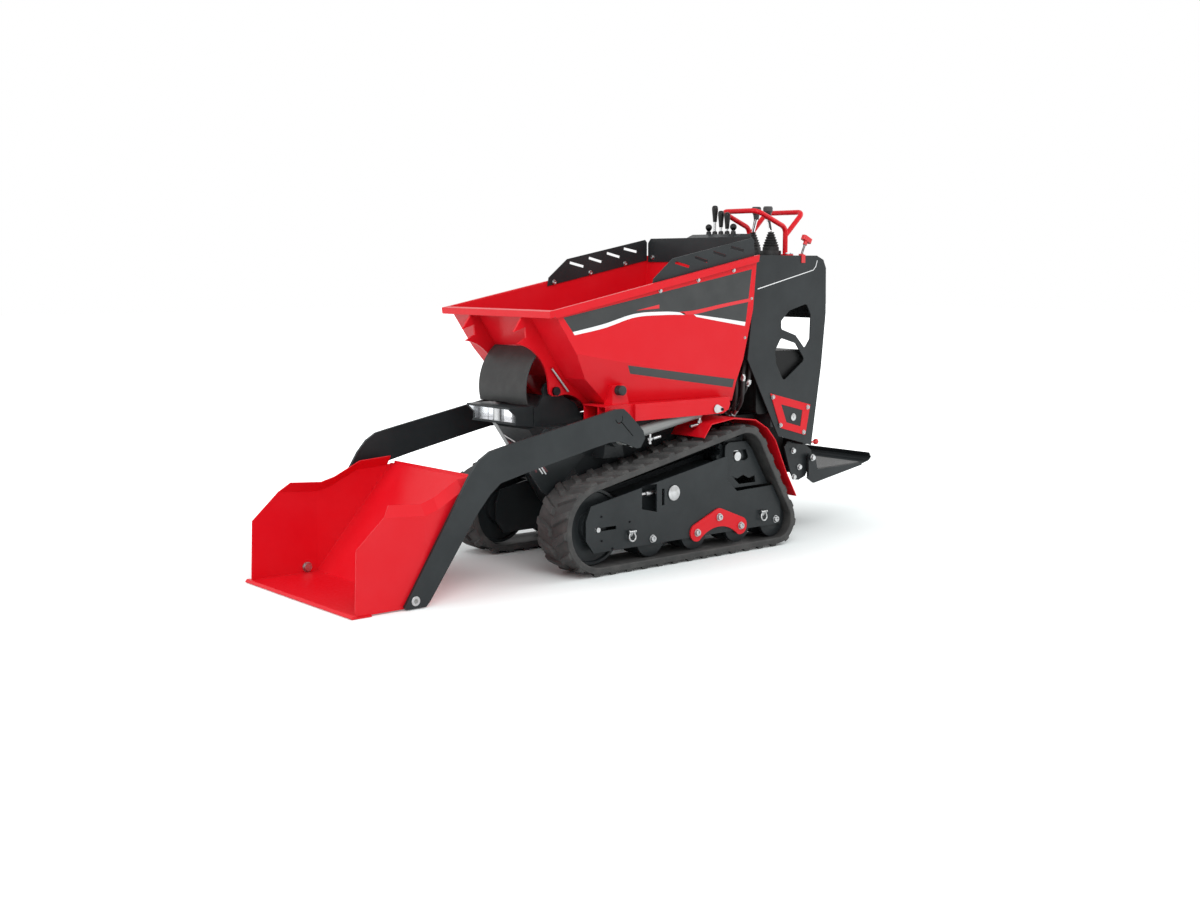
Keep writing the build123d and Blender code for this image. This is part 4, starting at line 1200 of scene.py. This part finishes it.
@dataclass
class TrackHardware:
    """Lashing shackles, axle caps and track tensioners (mm)."""

    eyes: tuple[Pair, ...] = ((155.0, 134.0), (-574.0, 134.0))  # x and z of the shackles' bores
    face: float = 360.0
    stand: float = 13.0  # distance of a shackle's pin from that face
    belly: float = 3.0  # how far its bow swings out further
    bow: float = 16.0
    bow_drop: float = 2.0  # the bow's centre below the bore
    bow_ends: Pair = (-40.0, 220.0)  # degrees at which the bow ends
    leg: Pair = (10.5, 18.0)  # end of a leg beside and above the bore
    wire: float = 3.6
    pin_start: Pair = (-17.5, 19.0)
    pin: tuple[Pair, ...] = ((0, 0), (6, 0), (6, 4), (4, 4.5), (4, 30), (6.5, 30.5), (6.5, 35), (0, 35))
    strap: tuple[Pair, ...] = ((-7.0, 0.0), (4.0, 3.0), (13.0, 19.0))  # off the face, and above the bore
    strap_radius: float = 7.0
    axle: Point = (-73.0, 363.0, 280.0)
    cap: tuple[Pair, ...] = ((0, 0), (30.2, 0), (30.2, 1.6), (28.6, 2.6), (0, 2.6))
    tensioner: Point = (-38.0, 330.0, 286.0)
    rod: tuple[Pair, ...] = ((0, 0), (11, 0), (11, 90), (7, 92), (7, 140), (0, 140))

    def build(self) -> None:
        """Make the hardware of both sides."""
        for side, sign in SIDES:
            for k, (x, z) in enumerate(self.eyes):
                self.shackle(f"shackle_{side}_{k + 1}", x, z, sign)
        cap = lathe(self.cap, 48)
        add_copies("axle_end_caps", cap, *both_sides((self.axle,)), Finish.ZINC, Body.CHASSIS)
        places, _ = both_sides((self.tensioner,))
        add_copies("tensioner_rods", lathe(self.rod), places, (1, 0, 0), Finish.ZINC, Body.CHASSIS)

    def shackle(self, name: str, x: float, z: float, sign: int) -> None:
        """Bow shackle hanging on its pin: a ring open at the top with two straight legs.

        Args:
            name: the piece's name.
            x: place of the eye.
            z: height of the eye.
            sign: 1 on the left.
        """
        angle = np.radians(np.linspace(*self.bow_ends, 25))
        bow = np.stack((self.bow * np.cos(angle), -self.bow_drop - self.bow * np.sin(angle)), -1)
        leg = np.array((self.leg,))
        outline = np.concatenate((leg, bow, leg * (-1, 1)))
        pin_y = self.face + self.stand
        y = pin_y + self.belly * np.sin(np.linspace(0, math.pi, len(outline)))
        path = np.stack((x + outline[:, 0], sign * y, z + outline[:, 1]), -1)
        add_pipe(name, path, self.wire, Finish.ZINC, Body.CHASSIS, 10)
        start = (x + self.pin_start[0], sign * pin_y, z + self.pin_start[1])
        add_copies(f"{name}_pin", lathe(self.pin), start, (1, 0, 0), Finish.ZINC, Body.CHASSIS)
        strap = smooth_line([(x, self.face + out, z + up) for out, up in self.strap], 8) * (1, sign, 1)
        add_pipe(f"{name}_lug", strap, self.strap_radius, Finish.ZINC, Body.CHASSIS, 12)


@dataclass
class SkipGraphics:
    """Plain coloured films on the skip's sides (mm)."""

    face: float = 335.0
    film: float = 0.25
    # three points of the slanted lower facet
    crease_front: Point = (405.0, 335.0, 846.0)
    crease_rear: Point = (-436.0, 335.0, 700.0)
    floor_rear: Point = (-446.0, 305.0, 619.0)
    # curves and corners as (x, z)
    sweep: tuple[Pair, ...] = (
        (417, 927), (267, 953), (110, 988), (-47, 993), (-199, 979), (-346, 961), (-492, 942),
    )
    panel_top: tuple[Pair, ...] = ((-524, 1156), (461, 981))
    white: tuple[tuple[Pair, ...], ...] = (
        ((417, 927), (267, 953), (110, 988), (-47, 993), (-146, 987)),
        ((-154, 978), (-48, 980), (110, 974), (262, 938), (408, 915)),
    )
    white_rear: tuple[tuple[Pair, ...], ...] = (
        ((-199, 979), (-346, 961), (-490, 942)),
        ((-486, 926), (-350, 947), (-213, 969)),
    )
    band: tuple[tuple[Pair, ...], ...] = (
        ((-120, 990), (-210, 996), (-360, 1018), (-522, 1039)),
        ((-518, 1025), (-360, 1004), (-215, 981), (-150, 978)),
    )
    wedge: tuple[Pair, ...] = ((105, 1000), (-14, 1021), (-14, 1006))
    lower: tuple[Pair, ...] = ((144, 792), (-425, 711), (-429, 676), (122, 758))

    def build(self) -> None:
        """Lay the films on both sides."""
        panel = np.concatenate((smooth_line(self.sweep), self.panel_top))
        self.lay("graphic_panel", panel, Finish.FILM_GREY, 1)
        for name, curves, finish in (
            ("graphic_sweep_front", self.white, Finish.FILM_WHITE),
            ("graphic_sweep_rear", self.white_rear, Finish.FILM_WHITE),
            ("graphic_band", self.band, Finish.FILM_RED),
        ):
            self.lay(name, np.concatenate([smooth_line(curve) for curve in curves]), finish, 2)
        self.lay("graphic_wedge", self.wedge, Finish.FILM_RED, 2)
        self.lay("graphic_lower", self.lower, Finish.FILM_GREY, 1, facet=True)

    def lay(self, name: str, outline: Any, finish: Finish, layer: int, facet: bool = False) -> None:
        """Stick one film on each side.

        Args:
            name: the film's name.
            outline: (x, z) points.
            finish: its colour.
            layer: which film of the pile it is, counted from the steel.
            facet: lay it on the slanted lower facet instead of the upright side.
        """
        x, z = np.array(outline, float).T
        y = np.full_like(x, self.face)
        normal = np.array((0.0, 1.0, 0.0))
        if facet:
            origin = np.array(self.crease_rear)
            normal = unit(np.cross(self.crease_front - origin, self.floor_rear - origin))
            normal *= np.sign(normal[1])
            y = origin[1] - (normal[0] * (x - origin[0]) + normal[2] * (z - origin[2])) / normal[1]
        base = np.stack((x, y, z), -1) + normal * self.film * (layer - 1)
        add_side_slabs(name, base, normal * self.film, finish, Body.SKIP)


@dataclass
class Markings:
    """Thin lines and flashes on the console panels and the nose (mm)."""

    film: float = 0.3
    # name, y of the face, sides (1 left, -1 right), finish, (x, z) outline
    marks: tuple = (
        ("console_line", 290.0, (1, -1), Finish.FILM_WHITE,
         ((-606, 1076), (-946, 1153), (-947, 1150), (-606, 1072))),
        ("console_line_end", 290.0, (1, -1), Finish.FILM_WHITE,
         ((-947, 1150), (-946, 1153), (-960, 1168), (-969, 1193), (-972, 1192), (-963, 1166))),
        ("nose_flash_front", 201.0, (1,), Finish.FILM_WHITE,
         ((485, 419), (459, 386), (454, 388), (479, 421))),
        ("nose_flash_rear", 201.0, (1,), Finish.FILM_WHITE,
         ((472, 421), (443, 383), (438, 385), (466, 423))),
        ("nose_shade_front", 201.0, (1,), Finish.FILM_DIM,
         ((500, 413), (490, 394), (482, 397), (490, 415))),
        ("nose_shade_rear", 201.0, (1,), Finish.FILM_DIM,
         ((458, 412), (438, 391), (431, 394), (449, 414))),
    )
    # two points (x, z) of the nose's raked face; then name, finish, (y, z) outline
    rake: tuple[Pair, Pair] = ((445.0, 546.0), (385.0, 460.0))
    raked: tuple = (
        ("rake_slash", Finish.FILM_WHITE, ((-98, 508), (-45, 484), (-47, 477), (-98, 500))),
        ("rake_shade", Finish.FILM_DIM, ((-98, 487), (-66, 471), (-98, 464))),
    )
    gap: float = 0.05  # between that face and its films

    def build(self) -> None:
        """Lay each mark on its sides."""
        self.on_rake()
        for name, y, signs, finish, outline in self.marks:
            flat = [(x, y, z) for x, z in outline]
            add_side_slabs(name, flat, (0.0, self.film, 0.0), finish, Body.CHASSIS, signs)

    def on_rake(self) -> None:
        """Lay the marks of the raked face, where x follows z."""
        (x0, z0), (x1, z1) = self.rake
        out = unit((z0 - z1, 0.0, x1 - x0))
        for name, finish, outline in self.raked:
            flat = np.array([(x0 + (z - z0) * (x1 - x0) / (z1 - z0), y, z) for y, z in outline])
            add_slab(name, flat + self.gap * out, out * self.film, finish, Body.CHASSIS)


@dataclass
class LeverFittings:
    """Stems, grips and collars of the hand levers (mm)."""

    bank_x: float = -675.0
    bank_foot: float = 1304.0
    stem_foot: float = 14.5  # above the bank's foot
    stem_radius: float = 5.4
    # y, and the stem's top above the bank's foot
    stems: tuple[Pair, ...] = ((-75.0, 13.7), (-37.5, 70.0), (0.0, 33.0), (37.5, 26.0), (75.0, 13.7))
    grip_feet: tuple[Pair, ...] = ((-37.5, 1356.9), (0.0, 1334.0), (37.5, 1326.5))  # y, z
    grip_length: float = 71.0
    # share of the grip's length and its radius there
    grip: tuple[Pair, ...] = (
        (0.0, 0.0), (0.0, 8.0), (0.03, 8.8), (0.15, 9.4), (0.35, 10.6), (0.55, 12.2), (0.7, 13.2),
        (0.8, 13.3), (0.88, 12.6), (0.935, 11.2), (0.965, 9.2), (0.988, 5.4), (1.0, 0.0),
    )
    knobs: tuple[Pair, ...] = ((-75.0, 1334.0), (75.0, 1334.0))  # y, z
    knob_radius: float = 14.6
    lever_x: float = -928.0
    neck: Pair = (54.0, 1318.0)  # y, z of a drive lever's stem at its foot
    crown: Pair = (35.0, 1373.0)  # and at its top
    drive_radius: float = 6.4
    pull: tuple[Point, Point] = ((-893.3, 268.0, 1216.0), (-913.0, 268.0, 1258.3))
    thread: Pair = (4.5, 0.5)  # mean radius, and how far it waves
    turns: int = 30
    boot_y: float = 55.0
    boot_foot: float = 1213.2
    # radius and height of the dished collar that the bellows stand in, clear of their swing
    boot: tuple[Pair, ...] = (
        (0, 0), (46, 0), (46, 20), (44.6, 22.4), (42.4, 22.4), (41.4, 21), (41.4, 2), (0, 2),
    )

    def build(self) -> None:
        """Fit the valve bank, the bellows, the drive levers and the throttle pull."""
        self.bank_knobs()
        self.collars()
        self.bank_stems()
        self.drive_stems()
        self.pull_thread()

    def bank_knobs(self) -> None:
        """Moulded grips and ball knobs of the valve bank.

        A ball's rings lie at radius r sin a and height -r cos a, from pole to pole.
        """
        grip = lathe([(radius, share * self.grip_length) for share, radius in self.grip], 28)
        feet = [(self.bank_x, y, z) for y, z in self.grip_feet]
        add_copies("bank_grips", grip, feet, (0, 0, 1), Finish.PLASTIC, Body.CHASSIS)
        angle = np.linspace(0.0, math.pi, 13)
        ball = lathe(np.stack((np.sin(angle), -np.cos(angle)), -1), size=self.knob_radius)
        centres = [(self.bank_x, y, z) for y, z in self.knobs]
        add_copies("bank_ball_knobs", ball, centres, (0, 0, 1), Finish.PLASTIC, Body.CHASSIS)

    def collars(self) -> None:
        """Rubber collars round the feet of the drive levers' bellows."""
        places, _ = both_sides(((self.lever_x, self.boot_y, self.boot_foot),))
        collar = lathe(self.boot, 48)
        add_copies("bellows_collars", collar, places, (0, 0, 1), Finish.BELLOWS, Body.CHASSIS)

    def bank_stems(self) -> None:
        """Bright stems of the valve bank's levers."""
        r, low = self.stem_radius, self.stem_foot
        for k, (y, top) in enumerate(self.stems):
            stem = lathe(((0, low), (r, low), (r, top), (0, top)), 16)
            place = (self.bank_x, y, self.bank_foot)
            add_copies(f"bank_stem_{k + 1}", stem, place, (0, 0, 1), Finish.ZINC, Body.CHASSIS)

    def drive_stems(self) -> None:
        """Chromed stems of the drive levers, which lean inwards."""
        low, high = np.array((self.lever_x, *self.neck)), np.array((self.lever_x, *self.crown))
        for side, sign in SIDES:
            path = np.linspace(low, high, 6) * (1, sign, 1)
            add_pipe(f"drive_stem_{side}", path, self.drive_radius, Finish.CHROME, Body(f"lever_{side}"), 16)

    def pull_thread(self) -> None:
        """Thread of the throttle pull: a rod whose radius waves once a turn."""
        share = np.linspace(0, 1, 2 * self.turns + 1)
        radius = self.thread[0] + self.thread[1] * np.cos(share * self.turns * 2 * math.pi)
        path = np.linspace(*self.pull, len(share))
        add_pipe("pull_thread", path, radius, Finish.ZINC, Body.CHASSIS, 16)


@dataclass
class CylinderPorts:
    """Elbows and crimped hose ends on the tipping cylinders (mm)."""

    side: float = 318.0
    # upright stub (x, low z, high z), and where its crimped end starts and stops (x, z)
    ports: tuple = (
        ((17.0, 478.0, 520.0), (8.0, 497.0), (-38.0, 503.0)),
        ((-252.0, 528.0, 566.0), (-243.0, 536.0), (-200.0, 531.0)),
    )
    stub: tuple[Pair, ...] = (
        (0, 0), (7, 0), (7, 8), (5.5, 9), (5.5, 13), (8.5, 14), (8.5, 24), (6, 25),
    )
    stub_nut: float = 16.0  # across flats

    def build(self) -> None:
        """Make the ports on both cylinders."""
        for side, sign in SIDES:
            for k, ((x, low, high), start, stop) in enumerate(self.ports):
                tall = high - low
                stub = lathe((*self.stub, (6, tall), (0, tall)), flats=(5, 6), across=self.stub_nut)
                foot, body = (x, sign * self.side, low), Body(f"barrel_{side}")
                add_copies(f"port_elbow_{side}_{k + 1}", stub, foot, (0, 0, 1), Finish.ZINC, body)
                (x1, z1), (x2, z2) = start, stop
                reach = math.dist(start, stop)
                rows = ((0, 0), (4.5, 0), (4.5, 6), (7.5, 7), (7.5, reach - 2), (6.5, reach), (0, reach))
                foot, run = (x1, sign * self.side, z1), (x2 - x1, 0.0, z2 - z1)
                add_copies(f"port_ferrule_{side}_{k + 1}", lathe(rows), foot, run, Finish.ZINC, body)


@dataclass
class FrontBracket:
    """Bright sheets and the post inside the tool bracket (mm)."""

    post: Point = (515.0, 0.0, 580.8)
    sleeve: tuple[Pair, ...] = ((0, 0), (23.3, 0), (23.3, 2), (20.3, 2.5), (20.3, 49.9), (0, 49.9))
    cheek: tuple[Pair, ...] = ((562, 631), (535, 607), (535, 581), (471, 581), (471, 631))
    cheek_y: float = 130.9
    cheek_sheet: float = 0.54
    floor: tuple[Pair, ...] = ((471, -130.5), (535, -130.5), (535, 130.5), (471, 130.5))
    floor_z: float = 580.1
    floor_sheet: float = 0.5

    def build(self) -> None:
        """Line the cheeks and the floor, and sleeve the post."""
        sleeve = lathe(self.sleeve, 40)
        add_copies("bracket_post_sleeve", sleeve, self.post, (0, 0, 1), Finish.ZINC, Body.CHASSIS)
        cheek = [(x, self.cheek_y, z) for x, z in self.cheek]
        lift = (0.0, self.cheek_sheet, 0.0)
        add_side_slabs("bracket_cheek_sheets", cheek, lift, Finish.LINING, Body.CHASSIS)
        floor = [(x, y, self.floor_z) for x, y in self.floor]
        lift = (0.0, 0.0, self.floor_sheet)
        add_slab("bracket_floor_sheet", floor, lift, Finish.LINING, Body.CHASSIS)


@dataclass
class AccessLocks:
    """Dark insets and locks of the access plates, each keyhole a black sheet of painted shade (mm)."""

    inset: tuple[Pair, ...] = ((-755.4, 584.6), (-889.4, 551.8), (-877.6, 482.6), (-790.2, 505.4))
    inset_sheet: float = 0.3
    lock: Point = (-832.0, 291.5, 525.0)
    cap: tuple[Pair, ...] = (
        (0, 0.3), (15.4, 0.3), (15.4, 3.3), (14.2, 4.1), (6.4, 4.1), (6.0, 3.6), (0, 3.6),
    )
    # the keyhole is no slot but a thin black sheet on the cap: painted shade
    keyway: tuple[Pair, ...] = ((-1.1, -4.6), (1.1, -4.6), (1.1, 4.6), (-1.1, 4.6))
    keyway_rise: float = 3.6
    keyway_sheet: float = 0.1

    def build(self) -> None:
        """Fill the insets, cap the locks on both sides and paint each keyhole's shade as a black sheet."""
        x0, y0, z0 = self.lock
        inset = [(x, y0, z) for x, z in self.inset]
        lift = (0.0, self.inset_sheet, 0.0)
        add_side_slabs("access_insets", inset, lift, Finish.GRAPHITE, Body.CHASSIS)
        cap = lathe(self.cap, 40)
        add_copies("access_lock_caps", cap, *both_sides((self.lock,)), Finish.ZINC, Body.CHASSIS)
        # black sheet on the cap's face: painted shade of the keyhole
        keyway = [(x0 + x, y0 + self.keyway_rise, z0 + z) for x, z in self.keyway]
        lift = (0.0, self.keyway_sheet, 0.0)
        add_side_slabs("access_keyhole_shades", keyway, lift, Finish.BLACKENED, Body.CHASSIS)


@dataclass
class BayHoses:
    """Hydraulic hoses in the bay between skip and console (mm)."""

    # radius, then the route as x, y, z; the feet stand on the engine's front top edge
    routes: tuple = (
        (8.0, ((-572, 186, 541), (-556, 248, 596), (-546, 270, 660), (-556, 262, 730), (-600, 236, 790))),
        (8.0, ((-572, 166, 541), (-542, 224, 590), (-528, 250, 650), (-540, 240, 724), (-600, 208, 790))),
        (6.5, ((-574, 146, 541), (-566, 222, 600), (-574, 268, 672), (-590, 266, 730), (-610, 250, 790))),
        (6.5, ((-572, 120, 541), (-522, 196, 582), (-510, 226, 640), (-528, 216, 716), (-600, 176, 790))),
        (6.5, ((-574, 90, 541), (-540, 150, 610), (-545, 170, 700), (-600, 140, 790))),
        (6.5, ((-574, 40, 541), (-550, 52, 620), (-552, 40, 700), (-600, 20, 790))),
    )
    # each hose's route, and -1 where it is the route's mirror image
    hoses: tuple = ((0, 1), (1, 1), (2, 1), (3, 1), (4, 1), (0, -1), (1, -1), (3, -1), (5, 1))
    ferrule: tuple[Pair, ...] = (
        (0, 0), (11, 0), (11, 12), (8.6, 13), (8.6, 16), (10, 17), (10, 44), (8.6, 46), (0, 46),
    )
    ferrule_nut: float = 20.0  # across flats
    collar: tuple[Pair, ...] = (
        (0, 0), (9, 0), (9, 7), (10.5, 8), (10.5, 20), (9, 21), (9, 28), (0, 28),
    )
    collar_nut: float = 19.0
    collared: tuple = ((0, 0.62), (3, 0.66), (2, 0.5), (5, 0.62))  # hose, and share of its length

    def build(self) -> None:
        """Make each hose, with a crimped ferrule and a nut at its foot and some collars."""
        routes = [np.array(self.routes[k][1]) * (1, sign, 1) for k, sign in self.hoses]
        paths = [smooth_line(route, 24) for route in routes]
        for k, (route, _) in enumerate(self.hoses):
            radius = self.routes[route][0]
            add_pipe(f"bay_hose_{k + 1}", paths[k], radius, Finish.BELLOWS, Body.CHASSIS, 14)
        ferrule = lathe(self.ferrule, flats=(1, 2), across=self.ferrule_nut)
        feet, steps = [route[0] for route in routes], [route[1] - route[0] for route in routes]
        add_copies("bay_hose_ferrules", ferrule, feet, steps, Finish.ZINC, Body.CHASSIS)
        collar = lathe(self.collar, flats=(3, 4), across=self.collar_nut)
        picks = [(paths[k], round(share * (len(paths[k]) - 2))) for k, share in self.collared]
        places = [path[i] for path, i in picks]
        along = [path[i + 1] - path[i] for path, i in picks]
        add_copies("bay_hose_collars", collar, places, along, Finish.ZINC, Body.CHASSIS)


def main() -> None:
    """Build the studio and every sub-assembly in order."""
    logging.basicConfig(level=logging.INFO, format="%(message)s")
    for part in (
        Studio, PlainNodes, RubberTracks, LipBead, RubberFlap, TrackHardware, Fasteners, SkipGraphics,
        Markings, LeverFittings, CylinderPorts, FrontBracket, AccessLocks, BayHoses,
    ):
        LOG.info("%s", part.__name__)
        part().build()


if __name__ == "__main__":
    main()
